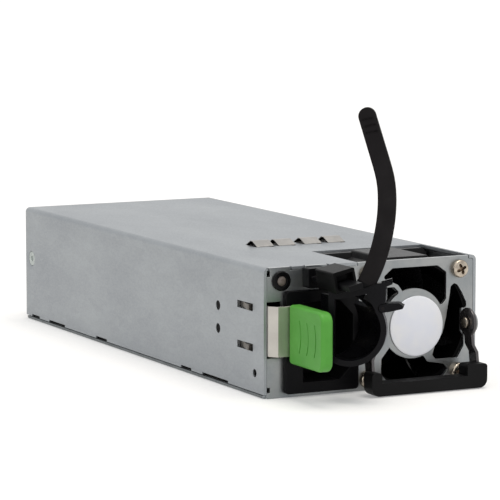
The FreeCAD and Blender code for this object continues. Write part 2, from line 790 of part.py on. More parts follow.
def make_inlet_housing():
    x0, x1, z0, z1 = inlet_flange
    flange = box(x0, x1, front_y - inlet_flange_thickness, front_y, z0, z1)
    flange = rounded(flange, inlet_flange_corner, (0, 1, 0))
    floor_y = inlet_floor_y
    shroud = plate_xz(inlet_outline(inlet_wall), front_y - 1, floor_y + inlet_floor)
    recess = plate_xz(inlet_outline(0), front_y - inlet_flange_thickness - 1, floor_y)
    pockets = [blade_shape(x, z, floor_y - 1, floor_y + inlet_floor + 1) for x, z in pin_places()]
    return less(join([flange, shroud]), [recess] + pockets)


def pin_places():
    half = pin_stagger / 2
    return [(inlet_x - half, inlet_z - pin_spacing / 2), (inlet_x - half, inlet_z + pin_spacing / 2),
            (inlet_x + half, inlet_z)]


def blade_shape(x, z, y0, y1):
    half_w, half_h = pin_size[0] / 2, pin_size[1] / 2
    return box(x - half_w, x + half_w, y0, y1, z - half_h, z + half_h)


def make_inlet_pins():
    end_y = inlet_floor_y + inlet_floor + pin_tail
    blades = []
    for x, z in pin_places():
        blade = blade_shape(x, z, front_y + pin_front, end_y)
        tip_edges = edges_along(blade, Vector(1, 0, 0), lambda p: p.y < front_y + pin_front + pin_chamfer)
        blades.append(blade.makeChamfer(pin_chamfer, tip_edges))
    return group(blades)


def make_light_holder():
    flange = rod(light_holder_radius, (light_x, front_y - light_flange, light_z), (0, 1, 0), light_flange)
    flange = rounded_rim(flange, light_flange_rim, front_y - light_flange)
    body = rod(light_body_radius, (light_x, front_y, light_z), (0, 1, 0), light_body_length)
    bore = rod(light_lens_radius + press_gap, (light_x, front_y - 2, light_z), (0, 1, 0), light_body_length + 4)
    return join([flange, body]).cut(bore)


def make_light_lens():
    y0 = front_y - light_flange - light_lens_lift
    lens = rod(light_lens_radius, (light_x, y0, light_z), (0, 1, 0), front_y + light_body_length - y0)
    return rounded_rim(lens, light_lens_rim, y0)


def make_light_board():
    """Small board that closes the holder's rear end, with the light-emitting chip in front of it."""
    width, height, thick = light_board
    y0 = front_y + light_body_length
    x0 = light_x - light_body_radius
    z1 = panel_top_z - light_board_gap
    return box(x0, x0 + width, y0, y0 + thick, z1 - height, z1)


# ---------------------------------------------------------------- latch

def make_latch_spring():
    wall = -wall_inner_x + fit_gap
    front = depth(-latch_flange_depth - latch_sheet / 2)
    line = [(wall, depth(latch_root)), (wall, depth(-latch_step_depth)), (latch_step_x, front), (latch_blade_x, front),
            (latch_blade_x, depth(-latch_blade_depth))]
    z0, z1 = latch_z - latch_height / 2, latch_z + latch_height / 2
    strip = plate_xy(thick_line(line, -latch_sheet), z0, z1)
    steps = [box(latch_blade_x - 1, latch_blade_x + 2, depth(-latch_blade_depth) - 1, depth(-latch_flange_depth - 1),
                 low, high) for low, high in ((z0 - 1, z0 + latch_blade_step), (z1 - latch_blade_step, z1 + 1))]
    holes = [rod(latch_rivet_radius + latch_travel_gap, (wall - 1, depth(latch_rivet_depth), z), (1, 0, 0), 4)
             for z in latch_rivet_zs]
    strip = less(strip, holes + steps)
    nibs = []
    for z in nib_zs:
        outline = [(wall + fit_gap, depth(nib_span[1])), (wall + fit_gap, depth(nib_span[0])),
                   (-case_width / 2 - nib_reach, depth(nib_span[0])),
                   (-case_width / 2 - nib_reach, depth(nib_span[0] + nib_point))]
        nibs.append(plate_xy(outline, z - nib_height / 2, z + nib_height / 2))
    return join([strip] + nibs)


def make_latch_tab():
    body = box(tab_face_x, tab_face_x + tab_thickness, depth(-tab_span[1]), depth(-tab_span[0]), tab_z[0], tab_z[1])
    body = rounded(body, tab_corner, (1, 0, 0), lambda p: p.y < depth(-tab_span[1] / 2))
    body = rounded(body, tab_root_corner, (1, 0, 0), lambda p: p.y > depth(-tab_span[0] - 0.1))
    body = rounded(body, tab_edge, (0, 0, 1), lambda p: p.y < depth(-tab_span[1] + 0.5))
    grooves = []
    width, cut = groove_size
    keep = box(tab_face_x - 2, tab_face_x + 2, depth(-tab_span[1]), depth(-tab_span[0]), tab_z[0] + groove_margin,
               tab_z[1] - groove_margin)
    for front in groove_depths:
        centre = (tab_face_x - 1, depth(groove_radius - front), (tab_z[0] + tab_z[1]) / 2)
        ring = tube(groove_radius + width / 2, groove_radius - width / 2, centre, (1, 0, 0), 1 + cut)
        grooves.append(ring.common(keep))
    return less(body, grooves + [make_latch_spring()])


def make_latch_rivets():
    rivets = []
    outer = -case_width / 2 + latch_rivet_inset
    strip_inner = -wall_inner_x + fit_gap + latch_sheet
    head_start = strip_inner + latch_travel_gap
    for z in latch_rivet_zs:
        y = depth(latch_rivet_depth)
        shank = rod(latch_rivet_radius, (outer, y, z), (1, 0, 0), head_start - outer)
        head = rod(latch_rivet_head[0], (head_start, y, z), (1, 0, 0), latch_rivet_head[1])
        rivets.append(join([shank, head]))
    return group(rivets)


# ---------------------------------------------------------------- handle

def arm_profile(x0, x1):
    """Side outline of an arm: a round end about the pivot, and a strip that runs down into the grip."""
    pivot_y = depth(-handle_pivot_depth)
    lobe = rod(arm_lobe_radius, (x0, pivot_y, handle_pivot_z), (1, 0, 0), x1 - x0)
    foot_y, foot_z = depth(-arm_foot[0]), arm_foot[1]
    lean = math.atan2(pivot_y - foot_y, handle_pivot_z - foot_z)
    across = (arm_width / 2 * math.cos(lean), arm_width / 2 * math.sin(lean))
    outline = [(pivot_y - across[0], handle_pivot_z + across[1]), (pivot_y + across[0], handle_pivot_z - across[1]),
               (foot_y + across[0], foot_z - across[1]), (foot_y - across[0], foot_z + across[1])]
    return join([lobe, plate_yz(outline, x0, x1)])


def make_arm(side):
    near = handle_x + side * handle_half_span
    far = near + side * arm_joggle
    line = [(near, handle_pivot_z + 10), (near, arm_joggle_z[1]), (far, arm_joggle_z[0]), (far, -5)]
    strip = plate_xz(thick_line(line, -side * arm_sheet), depth(-30), depth(30))
    x0, x1 = min(near, far) - 3, max(near, far) + 3
    arm = strip.common(arm_profile(x0, x1))
    hole = rod(handle_rivet_radius + handle_rivet_gap, (x0, depth(-handle_pivot_depth), handle_pivot_z), (1, 0, 0),
               x1 - x0)
    return arm.cut(hole)


def make_grip():
    x0, x1 = grip_x
    y0, y1 = depth(-grip_depth[1]), depth(-grip_depth[0])
    outline = [(x0, grip_z[0]), (x1, grip_z[0]), (x1, grip_right_post[1]),
               (x1 - grip_right_post[0], grip_right_post[1]), (x1 - grip_right_post[0], grip_z[1]),
               (x0 + grip_left_post[0], grip_z[1]),
               (x0 + grip_left_post[0], grip_left_post[1]), (x0, grip_left_post[1])]
    grip = plate_xz(outline, y0, y1)
    grip = rounded(grip, grip_corner, (0, 1, 0), lambda p: p.z < 1)
    grip = rounded(grip, grip_edge, (0, 1, 0), lambda p: p.z > grip_z[1] + 1 or p.x < x0 + 0.1)
    return less(grip, [make_arm(-1), make_arm(1)])


def make_handle_rivets():
    rivets = []
    y = depth(-handle_pivot_depth)
    head_radius, head_height = handle_rivet_head
    tail_radius_out, tail_height = handle_rivet_tail
    for side in (-1, 1):
        arm_face = handle_x + side * handle_half_span
        head_x = arm_face - side * arm_side_gap
        end_x = arm_face + side * (arm_sheet + arm_side_gap + sheet)
        shank = rod(handle_rivet_radius, (head_x, y, handle_pivot_z), (side, 0, 0), abs(end_x - head_x))
        head = rod(head_radius, (head_x, y, handle_pivot_z), (-side, 0, 0), head_height)
        tail = rod(tail_radius_out, (end_x, y, handle_pivot_z), (side, 0, 0), tail_height)
        rivets.append(join([shank, head, tail]))
    return group(rivets)


# ---------------------------------------------------------------- cord clamp

def roll_about_rail(shape):
    shape.rotate(Vector(rail_x, 0, rail_z), Vector(0, 1, 0), clamp_roll_angle)
    return shape


def make_rail():
    width, height, length = rail_foot
    foot = box(rail_x - width / 2, rail_x + width / 2, depth(-length), front_y, rail_z - height / 2,
               rail_z + height / 2)
    foot = rounded(foot, rail_foot_corner, (0, 1, 0))
    bar_width, bar_height, reach = rail_bar
    bar = roll_about_rail(box(rail_x - bar_width / 2, rail_x + bar_width / 2, depth(-reach), depth(-length + rail_root),
                              rail_z - bar_height / 2, rail_z + bar_height / 2))
    peg_width, peg_height, peg_length = rail_peg
    peg = box(rail_x - peg_width / 2, rail_x + peg_width / 2, depth(-rail_root), depth(peg_length),
              rail_z - peg_height / 2, rail_z + peg_height / 2)
    barb = box(rail_x - peg_width / 2, rail_x + peg_width / 2, depth(sheet + fit_gap), depth(peg_length),
               rail_z - peg_height / 2 - rail_barb, rail_z + peg_height / 2 + rail_barb)
    return join([foot, bar, peg, barb])


def make_slider():
    width, height = slider_size
    y0, y1 = depth(-slider_span[1]), depth(-slider_span[0])
    centre_z = rail_z + slider_lift
    body = box(rail_x - width / 2, rail_x + width / 2, y0, y1, centre_z - height / 2, centre_z + height / 2)
    body = rounded(body, slider_corner, (0, 1, 0))
    bar_width, bar_height, _ = rail_bar
    passage = box(rail_x - bar_width / 2 - slider_gap, rail_x + bar_width / 2 + slider_gap, y0 - 1, y1 + 1,
                  rail_z - bar_height / 2 - slider_gap, rail_z + bar_height / 2 + slider_gap)
    mouth_width, mouth_height, mouth_depth = slider_mouth
    mouth = box(rail_x - mouth_width / 2, rail_x + mouth_width / 2, y0 - 1, y0 + mouth_depth,
                centre_z - mouth_height / 2, centre_z + mouth_height / 2)
    return roll_about_rail(less(body, [passage, mouth]))


def into_clamp(shape):
    """Turn a shape from the strap's own plane (X along, Z up, -Y out) to its place on the supply."""
    shape.rotate(Vector(0, 0, 0), Vector(0, 0, 1), -loop_turn_angle)
    shape.translate(Vector(loop_x, depth(-loop_depth), loop_z))
    return shape


def tail_stations():
    """Points along the tail's centre line with their headings: two arcs that bend it back, then a straight run."""
    x, z = tail_start
    heading = math.radians(tail_heading_angle)
    stations = [(x, z, heading)]
    for radius, sweep in tail_bends:
        centre_x, centre_z = x - radius * math.sin(heading), z + radius * math.cos(heading)
        for _ in range(tail_step_count):
            heading += math.radians(sweep / tail_step_count)
            x, z = centre_x + radius * math.sin(heading), centre_z - radius * math.cos(heading)
            stations.append((x, z, heading))
    for step in range(1, tail_step_count + 1):
        run = tail_straight * step / tail_step_count
        stations.append((x + run * math.cos(heading), z + run * math.sin(heading), heading))
    return stations


def make_tail():
    """Flat tail of the strap in its own plane, which gets narrower towards its round tip."""
    stations = tail_stations()
    first, last = tail_widths
    sides = []
    for side in (-1, 1):
        points = []
        for index, (x, z, heading) in enumerate(stations):
            half = (first + (last - first) * index / (len(stations) - 1)) / 2
            points.append(Vector(x + side * half * math.sin(heading), -tail_half_thickness,
                                 z - side * half * math.cos(heading)))
        sides.append(points)
    curves = []
    for points in sides:
        curve = Part.BSplineCurve()
        curve.interpolate(points)
        curves.append(curve.toShape())
    x, z, heading = stations[-1]
    tip = Vector(x + last / 2 * math.cos(heading), -tail_half_thickness, z + last / 2 * math.sin(heading))
    ends = [Part.Arc(sides[0][-1], tip, sides[1][-1]).toShape(),
            Part.LineSegment(sides[1][0], sides[0][0]).toShape()]
    outline = Part.Wire([curves[0], ends[0], curves[1], ends[1]])
    return Part.Face(outline).extrude(Vector(0, 2 * tail_half_thickness, 0))


def arc_band(centre, inner, outer, start, end, half_width):
    """Part of a flat ring in the strap's plane, between two angles in degrees."""
    def at(radius, angle):
        a = math.radians(angle)
        return Vector(centre[0] + radius * math.cos(a), -half_width, centre[1] + radius * math.sin(a))
    middle = (start + end) / 2
    edges = [Part.Arc(at(outer, start), at(outer, middle), at(outer, end)).toShape(),
             Part.LineSegment(at(outer, end), at(inner, end)).toShape(),
             Part.Arc(at(inner, end), at(inner, middle), at(inner, start)).toShape(),
             Part.LineSegment(at(inner, start), at(outer, start)).toShape()]
    return Part.Face(Part.Wire(edges)).extrude(Vector(0, 2 * half_width, 0))


def make_strap():
    inner, outer = loop_inner_radius, loop_inner_radius + loop_band
    half = strap_half_width
    flat_inner = loop_flat + loop_band
    start_angle = 180 + math.degrees(math.acos(-flat_inner / inner))
    ring = arc_band((0, 0), inner, outer, start_angle - loop_seam_angle, 360 + loop_end_angle, half)
    ring = ring.cut(box(-outer - 1, loop_flat, -half - 1, half + 1, -outer - 1, outer + 1))
    corner_z = -math.sqrt(outer ** 2 - loop_flat ** 2)
    side = box(loop_flat, flat_inner, -half, half, corner_z, inner)
    top = plate_xz(loop_top, -half, half)
    lug = box(loop_flat, loop_flat + lug_length, -half, half, inner, inner + lug_height)
    head = plate_xz(strap_head, -half, half)
    knuckle = rod(knuckle_radius, (lever_hinge[0], -half, lever_hinge[1]), (0, 1, 0), 2 * half)
    turn = math.radians(loop_turn_angle)
    run = Vector(-math.sin(turn), math.cos(turn), 0) * loop_depth
    rear_faces = [f for shape in (ring, side) for f in shape.Faces if abs(f.BoundBox.YMin - half) < 1e-6]
    collar = [f.extrude(run) for f in rear_faces]
    strap = join([ring, side, top, lug, head, knuckle, make_tail()] + collar)
    cuts = [rod(lever_pin_radius + press_gap, (lever_hinge[0], -half - 1, lever_hinge[1]), (0, 1, 0), 2 * half + 2)]
    for start in (-half - 1, knuckle_half_width):
        cuts.append(rod(cheek_radius + cheek_gap, (lever_hinge[0], start, lever_hinge[1]), (0, 1, 0),
                        half + 1 - knuckle_half_width))
    strap = into_clamp(less(strap, cuts))
    limits = strap.BoundBox
    beyond = box(limits.XMin - 1, limits.XMax + 1, depth(-collar_rear_depth), limits.YMax + 1,
                 limits.ZMin - 1, limits.ZMax + 1)
    return strap.cut(beyond).cut(make_slider())


def make_lever():
    half = strap_half_width
    hinge_u, hinge_v = lever_hinge
    plate = plate_xz(lever_plate, -half, half)
    cheeks = []
    width = half - knuckle_half_width - cheek_side_gap
    for start in (-half, half - width):
        cheek = rod(cheek_radius, (hinge_u, start, hinge_v), (0, 1, 0), width)
        neck = [(hinge_u, hinge_v - cheek_radius)] + lever_neck + [(hinge_u, hinge_v + cheek_radius)]
        arm = plate_xz(neck, start, start + width)
        cheeks += [cheek, arm]
    hole = rod(lever_pin_radius + running_gap, (hinge_u, -half - 1, hinge_v), (0, 1, 0), 2 * half + 2)
    return into_clamp(join([plate] + cheeks).cut(hole))


def make_lever_pin():
    half = strap_half_width
    return into_clamp(rod(lever_pin_radius, (lever_hinge[0], -half, lever_hinge[1]), (0, 1, 0), 2 * half))


# ---------------------------------------------------------------- electronics

# The parts on the board keep their shares of its width and length and of the room above it.

def at_board(x, d, h):
    """Point of the layout: to the right of the middle, behind the board's front edge, and above the board."""
    return x * across_scale, depth(board_front + d * along_scale), board_top + h * upward_scale


def on_board(x0, x1, d0, d1, height, lift=0.0):
    x_low, y_low, z_low = at_board(x0, d0, lift)
    x_high, y_high, z_high = at_board(x1, d1, height)
    return box(x_low, x_high, y_low, y_high, z_low, z_high)


def standoff_places():
    x = board_half_width - standoff_side_inset
    front, rear = standoff_end_insets
    return [(side * x, y) for side in (-1, 1) for y in (depth(board_front + front),
                                                        rear_y - sheet - board_rear_gap - rear)]


def make_board():
    y1 = rear_y - sheet - board_rear_gap
    board = box(-board_half_width, board_half_width, depth(board_front), y1, board_z, board_top)
    tongue = box(-edge_half_width, edge_half_width, y1 - 1, rear_y + edge_reach, board_z, board_top)
    holes = [rod(board_hole_radius, (x, y, board_z - 1), (0, 0, 1), board_thickness + 2) for x, y in standoff_places()]
    return less(join([board, tongue]), holes)


def contact_spans():
    """Wide power contacts at both ends of the edge, narrow signal contacts between them."""
    step = power_contact_width + contact_margin
    left = -edge_half_width + contact_margin
    right = edge_half_width - contact_margin - power_contact_width
    spans = [(x, x + power_contact_width) for x in (left, left + step, right - step, right)]
    x = left + 2 * step
    while x + contact_width < right - step:
        spans.append((x, x + contact_width))
        x += contact_pitch
    return spans


def make_edge_contacts():
    y0, y1 = rear_y + contact_margin, rear_y + edge_reach - contact_tip
    return group([box(x0, x1, y0, y1, z, z + contact_thickness) for x0, x1 in contact_spans()
                  for z in (board_top, board_z - contact_thickness)])


def make_standoffs():
    return group([tube(standoff_radius, standoff_bore_radius, (x, y, sheet), (0, 0, 1), standoff_height)
                  for x, y in standoff_places()])


def make_board_screws():
    screws = []
    reach, half, floor = board_screw_slot
    radius, height = board_screw_head
    for x, y in standoff_places():
        head = rod(radius, (x, y, board_top), (0, 0, 1), height)
        shank = rod(board_screw_radius, (x, y, 2 * sheet), (0, 0, 1), board_top - 2 * sheet)
        bars = [box(x - a, x + a, y - b, y + b, board_top + floor, board_top + height + 1)
                for a, b in ((reach, half), (half, reach))]
        screws.append(less(join([head, shank]), bars))
    return group(screws)


def make_insulating_sheet():
    edge = panel_half_width - sheet - slot_gap
    film = box(-edge, edge, fan_rear_y + 1, rear_y - sheet - slot_gap, sheet, sheet + sheet_insulator)
    holes = [rod(standoff_radius + slot_gap, (x, y, 0), (0, 0, 1), 2 * sheet) for x, y in standoff_places()]
    return less(film, holes)


def bulk_span():
    """The cans lie between the power transistors and the transformer."""
    transistor_end = primary_sink[2] + sink_depth + transistor_gap + transistor_size[1]
    start = depth(board_front + transistor_end * along_scale) + bulk_gap
    end = depth(board_front + (transformer_span_along[0] - transformer_winding_overhang) * along_scale) - bulk_rear_gap
    return start, end


def make_bulk_capacitors():
    cans = []
    radius = bulk_radius * axial_round_scale
    z = board_top + seat_gap + radius
    start, end = bulk_span()
    inset, width, cut = bulk_groove
    for place in bulk_xs:
        x = place * across_scale
        can = rounded_rim(rod(radius, (x, start, z), (0, 1, 0), end - start), bulk_rim, start)
        groove = tube(radius + 1, radius - cut, (x, end - inset, z), (0, 1, 0), width)
        cans.append(can.cut(groove))
    return group(cans)


def choke_place():
    x, y, _ = at_board(choke_x, choke_start, 0)
    return x, y, board_top + choke_lift * axial_round_scale


def choke_ring(grow):
    outer, inner, length = [size * axial_round_scale for size in choke_core]
    x, y, z = choke_place()
    return tube(outer + grow, inner - grow, (x, y - grow, z), (0, 1, 0), length + 2 * grow)


def make_choke_winding():
    """Turns of heavy wire round the boost choke's core, as wedge-shaped bundles."""
    outer, _, length = [size * axial_round_scale for size in choke_core]
    x, y, z = choke_place()
    y0, y1 = y - choke_winding - 1, y + length + choke_winding + 1
    half = choke_bare_width / 2
    cuts = [choke_ring(0), box(x - half, x + half, y0, y1, z, z + outer + choke_winding + 1)]
    width, cut = choke_groove
    for index in range(choke_turn_count):
        groove = box(-width / 2, width / 2, y0, y1, outer + choke_winding - cut, outer + 2)
        groove.rotate(Vector(0, 0, 0), Vector(0, 1, 0), 360.0 * (index + 0.5) / choke_turn_count)
        groove.translate(Vector(x, 0, z))
        cuts.append(groove)
    return less(choke_ring(choke_winding), cuts)


def transformer_windows(gap):
    """The two openings of the core, each made smaller by the gap, as spans of X."""
    x0, x1 = transformer_span
    middle = (x0 + x1) / 2
    half = transformer_middle_leg / 2
    return [(x0 + transformer_leg + gap, middle - half), (middle + half, x1 - transformer_leg - gap)]


def make_transformer_core():
    d0, d1 = transformer_span_along
    outer = on_board(*transformer_span, d0, d1, transformer_height)
    return less(outer, [on_board(x0, x1, d0 - 1, d1 + 1, transformer_height - transformer_bar, transformer_bar)
                        for x0, x1 in transformer_windows(0)])


def make_transformer_winding():
    (x0, leg_x0), (leg_x1, x1) = transformer_windows(transformer_winding_gap)
    d0, d1 = transformer_span_along
    reach = transformer_winding_overhang
    lift = transformer_bar + transformer_winding_gap
    outer = on_board(x0, x1, d0 - reach, d1 + reach, transformer_height - lift, lift)
    outer = rounded(outer, transformer_winding_corner, (0, 0, 1))
    return less(outer, [on_board(leg_x0, leg_x1, d0, d1, transformer_height, 0)])


def make_filter_choke():
    d0, d1 = filter_choke_span_along
    half, height = filter_choke_base
    outer, inner, length = [size * axial_round_scale for size in filter_choke_ring]
    base = on_board(filter_choke_x - half, filter_choke_x + half, d0, d1, height)
    x, y, z = at_board(filter_choke_x, filter_choke_ring_start, height)
    return join([base, tube(outer, inner, (x, y, z + outer - filter_choke_seat), (0, 1, 0), length)])


def make_fuse():
    radius, length = fuse_glass[0], fuse_glass[1] * across_scale
    cap_radius, cap_length = fuse_cap
    foot_length, foot_width = fuse_foot
    start_x, y, _ = at_board(fuse_start_x, fuse_place, 0)
    z = board_top + fuse_lift
    glass = rod(radius, (start_x, y, z), (1, 0, 0), length)
    parts = [glass]
    for x in (start_x - fuse_cap_reach, start_x + length + fuse_cap_reach - cap_length):
        cap = tube(cap_radius, radius + press_gap, (x, y, z), (1, 0, 0), cap_length)
        foot_x = x + (cap_length - foot_length) / 2
        foot = box(foot_x, foot_x + foot_length, y - foot_width / 2, y + foot_width / 2, board_top, z - radius)
        parts.append(join([cap, foot]))
    return group(parts)


def make_heat_sink(x0, x1, d0, fin_count):
    """Comb of fins along the airflow, on a back plate that stands on the board."""
    pieces = [on_board(x0, x1, d0, d0 + sink_plate, sink_height)]
    pitch = (x1 - x0 - sink_fin) / (fin_count - 1)
    for index in range(fin_count):
        x = x0 + pitch * index
        pieces.append(on_board(x, x + sink_fin, d0 + sink_plate / 2, d0 + sink_depth, sink_height))
    return join(pieces)


def make_transistors():
    """Flat power transistors, each with its back on the rear or front face of a heat sink."""
    width, thick, height = transistor_size
    rear_face = primary_sink[2] + sink_depth + transistor_gap
    front_face = secondary_sink[2] - thick
    rows = [on_board(x, x + width, rear_face, rear_face + thick, height) for x in primary_transistor_xs]
    rows += [on_board(x, x + width, front_face, secondary_sink[2], height) for x in secondary_transistor_xs]
    return group(rows)


def make_output_capacitors():
    cans = []
    radius, height = output_can[0] * upright_round_scale, output_can[1] * upward_scale
    for place in output_can_xs:
        can = rod(radius, at_board(place, output_can_place, 0), (0, 0, 1), height)
        rim = [e for e in can.Edges if isinstance(e.Curve, Part.Circle) and e.CenterOfMass.z > board_top + height / 2]
        cans.append(can.makeFillet(output_can_rim, rim))
    return group(cans)


def fan_plug_box():
    x0, x1 = plug_x
    return on_board(x0, x1, plug_depth, plug_depth + plug_size[0], plug_size[1])


def make_fan_lead():
    """Flat lead from the fan's frame back to its plug on the board."""
    bounds = fan_plug_box().BoundBox
    x0, x1 = bounds.XMin + 1, bounds.XMax - 1
    z = board_top + fan_wire_lift
    pitch = (x1 - x0) / fan_wire_count
    return group([rod(fan_wire_radius, (x0 + pitch * (index + 0.5), fan_rear_y, z), (0, 1, 0),
                      bounds.YMin - fan_rear_y) for index in range(fan_wire_count)])


def make_inlet_leads():
    """One lead from each blade of the inlet, back and down to the board's front edge."""
    y0 = inlet_floor_y + inlet_floor + pin_tail
    wires = []
    for x, z in pin_places():
        y_down = depth(board_front + inlet_wire_landing) + (inlet_wire_row if z > inlet_z + 1 else 0)
        top = Vector(x, y0, z)
        knee = Vector(x, y_down, z)
        foot = Vector(x, y_down, board_top)
        radius = min(inlet_wire_bend, abs(y_down - y0) * 0.8, abs(z - board_top) * 0.8)
        before = knee - Vector(0, radius, 0)
        after = knee - Vector(0, 0, radius)
        bend = radius * (1 - math.sqrt(0.5))
        middle = knee - Vector(0, bend, bend)
        path = Part.Wire([Part.LineSegment(top, before).toShape(), Part.Arc(before, middle, after).toShape(),
                          Part.LineSegment(after, foot).toShape()])
        ring = Part.Wire(Part.makeCircle(inlet_wire_radius, top, Vector(0, 1, 0)))
        wires.append(path.makePipeShell([ring], True, True))
    return group(wires)


nodes = {
    "case_cover": make_cover(),
    "case_base": make_base(),
    "front_panel": make_front_panel(),
    "rear_panel": make_rear_panel(),
    "side_screws": make_flush_screws(),
    "earth_spring_strip": make_finger_strip(),
    "fan_frame": make_fan_frame(),
    "fan_bearings": make_bearings(),
    "fan_stator": make_stator(),
    "fan_rotor": make_rotor(),
    "fan_shaft": make_shaft(),
    "fan_magnet": make_magnet(),
    "fan_screws": make_fan_screws(),
    "hub_label": make_label(),
    "inlet_housing": make_inlet_housing(),
    "inlet_pins": make_inlet_pins(),
    "light_holder": make_light_holder(),
    "light_lens": make_light_lens(),
    "light_board": make_light_board(),
    "latch_spring": make_latch_spring(),
    "latch_tab": make_latch_tab(),
    "latch_rivets": make_latch_rivets(),
    "handle_arm_left": make_arm(-1),
    "handle_arm_right": make_arm(1),
    "handle_grip": make_grip(),
    "handle_rivets": make_handle_rivets(),
    "clamp_rail": make_rail(),
    "clamp_slider": make_slider(),
    "clamp_strap": make_strap(),
    "clamp_lever": make_lever(),
    "clamp_lever_pin": make_lever_pin(),
    "main_board": make_board(),
    "edge_contacts": make_edge_contacts(),
    "board_standoffs": make_standoffs(),
    "board_screws": make_board_screws(),
    "insulating_sheet": make_insulating_sheet(),
    "bulk_capacitors": make_bulk_capacitors(),
    "boost_choke_core": choke_ring(0),
    "boost_choke_winding": make_choke_winding(),
    "transformer_core": make_transformer_core(),
    "transformer_winding": make_transformer_winding(),
    "common_mode_choke": make_filter_choke(),
    "film_capacitor": rounded(on_board(*film_capacitor_box), film_capacitor_corner, (0, 0, 1)),
    "fuse": make_fuse(),
    "inrush_relay": rounded(on_board(*relay_box), relay_corner, (0, 0, 1)),
    "bridge_rectifier": on_board(*bridge_box),
    "primary_heat_sink": make_heat_sink(*primary_sink, primary_fin_count),
    "secondary_heat_sink": make_heat_sink(*secondary_sink, secondary_fin_count),
    "power_transistors": make_transistors(),
    "output_capacitors": make_output_capacitors(),
    "output_inductor": rounded(on_board(*inductor_box), inductor_corner, (0, 0, 1)),
    "control_card": on_board(*card_x, *card_span_along, card_height),
    "fan_plug": fan_plug_box(),
    "fan_lead": make_fan_lead(),
    "inlet_leads": make_inlet_leads(),
}

for name, shape in nodes.items():
    shape.exportStep("parts/%s.step" % name)
    print(name, len(shape.Solids), "solids,", round(shape.Volume), "mm3", "valid" if shape.isValid() else "INVALID")
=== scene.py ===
import json
import math

import bmesh
import bpy
import numpy as np
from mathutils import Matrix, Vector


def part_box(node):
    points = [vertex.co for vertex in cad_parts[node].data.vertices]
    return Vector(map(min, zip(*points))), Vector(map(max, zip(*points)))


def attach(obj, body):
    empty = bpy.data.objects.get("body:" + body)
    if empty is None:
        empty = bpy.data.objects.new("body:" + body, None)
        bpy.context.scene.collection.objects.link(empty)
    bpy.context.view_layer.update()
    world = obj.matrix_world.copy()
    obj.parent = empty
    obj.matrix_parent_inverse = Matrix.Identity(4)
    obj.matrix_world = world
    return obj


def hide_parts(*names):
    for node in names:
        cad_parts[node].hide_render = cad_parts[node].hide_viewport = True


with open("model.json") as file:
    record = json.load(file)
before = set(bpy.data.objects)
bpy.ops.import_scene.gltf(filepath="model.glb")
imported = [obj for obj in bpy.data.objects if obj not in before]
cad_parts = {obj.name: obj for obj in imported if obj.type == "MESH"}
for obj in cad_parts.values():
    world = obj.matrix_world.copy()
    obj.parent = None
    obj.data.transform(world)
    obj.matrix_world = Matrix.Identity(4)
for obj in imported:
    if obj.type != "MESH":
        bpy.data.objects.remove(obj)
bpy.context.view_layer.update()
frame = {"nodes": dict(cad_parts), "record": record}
nodes = frame["nodes"]
record = frame["record"]
print("frame loaded:", len(nodes), "nodes")

mm = 0.001


def middleOf(low, high):
    # the middle of a box, across and upwards, in millimetres
    return (low.x + high.x) / 2 / mm, (low.z + high.z) / 2 / mm


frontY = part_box("case_cover")[0].y
fanLow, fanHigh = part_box("fan_frame")
fanX, fanZ = middleOf(fanLow, fanHigh)
bodyOfNode = {node: body for body, members in record["behaviour"]["bodies"].items() for node in members}
slotOfNode = {row["node"]: row["material_slot"] for row in record["subparts"]}

# camera and light

cameraView = {"place": (-0.4215, -0.8443, 0.1513), "turn": 26.825, "tilt": 7.173, "lens": 206.62, "sensor": 36.0,
              "clip": (0.01, 50)}
lamps = [  # name, strength, colour, angle across in degrees, direction it comes from
    ("keySun", 1.55, "#FFFAF2", 40.0, (0.1, -0.2, 1.5)),
    ("fillSun", 0.4, "#FFFFFF", 70.0, (-0.9, -0.9, 0.7)),
]
backdrop = {"white": "#FFFFFF", "ambient": 0.62, "shown": 1.0, "floorShade": "#E0E0E0", "floorLift": 0.25,
            "floorHalf": 8.0, "floorDrop": 0.05}


def linear(hexColour):
    # sRGB to linear: below 0.04045 divided by 12.92, above it ((v + 0.055) / 1.055) to the power 2.4
    values = np.array([int(hexColour[i:i + 2], 16) / 255 for i in (1, 3, 5)])
    curved = np.where(values <= 0.04045, values / 12.92, ((values + 0.055) / 1.055) ** 2.4)
    return (*curved.tolist(), 1.0)


def addNode(tree, kind, settings=None, links=None):
    # one node: settings are its own values or its sockets' defaults, links join its sockets to outputs of others
    node = tree.nodes.new(kind)
    for name, value in (settings or {}).items():
        if isinstance(name, int) or name in node.inputs:
            node.inputs[name].default_value = value
        else:
            setattr(node, name, value)
    for name, source in (links or {}).items():
        tree.links.new(source, node.inputs[name])
    return node


def blankTree(owner):
    # the owner's node tree, emptied
    owner.use_nodes = True
    owner.node_tree.nodes.clear()
    return owner.node_tree


def seenBy(tree, *kinds):
    # the greatest of the light path's outputs of these kinds: 1 for a ray of any of them, otherwise 0
    path = addNode(tree, "ShaderNodeLightPath")
    seen = path.outputs[kinds[0]]
    for kind in kinds[1:]:
        seen = addNode(tree, "ShaderNodeMath", {"operation": "MAXIMUM"}, {0: seen, 1: path.outputs[kind]}).outputs[0]
    return seen


cameraData = bpy.data.cameras.new("camera")
cameraData.lens = cameraView["lens"]
cameraData.sensor_width = cameraView["sensor"]
cameraData.clip_start, cameraData.clip_end = cameraView["clip"]
camera = bpy.data.objects.new("camera", cameraData)
camera.location = cameraView["place"]
camera.rotation_euler = (math.radians(90 - cameraView["tilt"]), 0, -math.radians(cameraView["turn"]))
bpy.context.scene.collection.objects.link(camera)
bpy.context.scene.camera = camera
bpy.context.scene.view_settings.view_transform = "Standard"

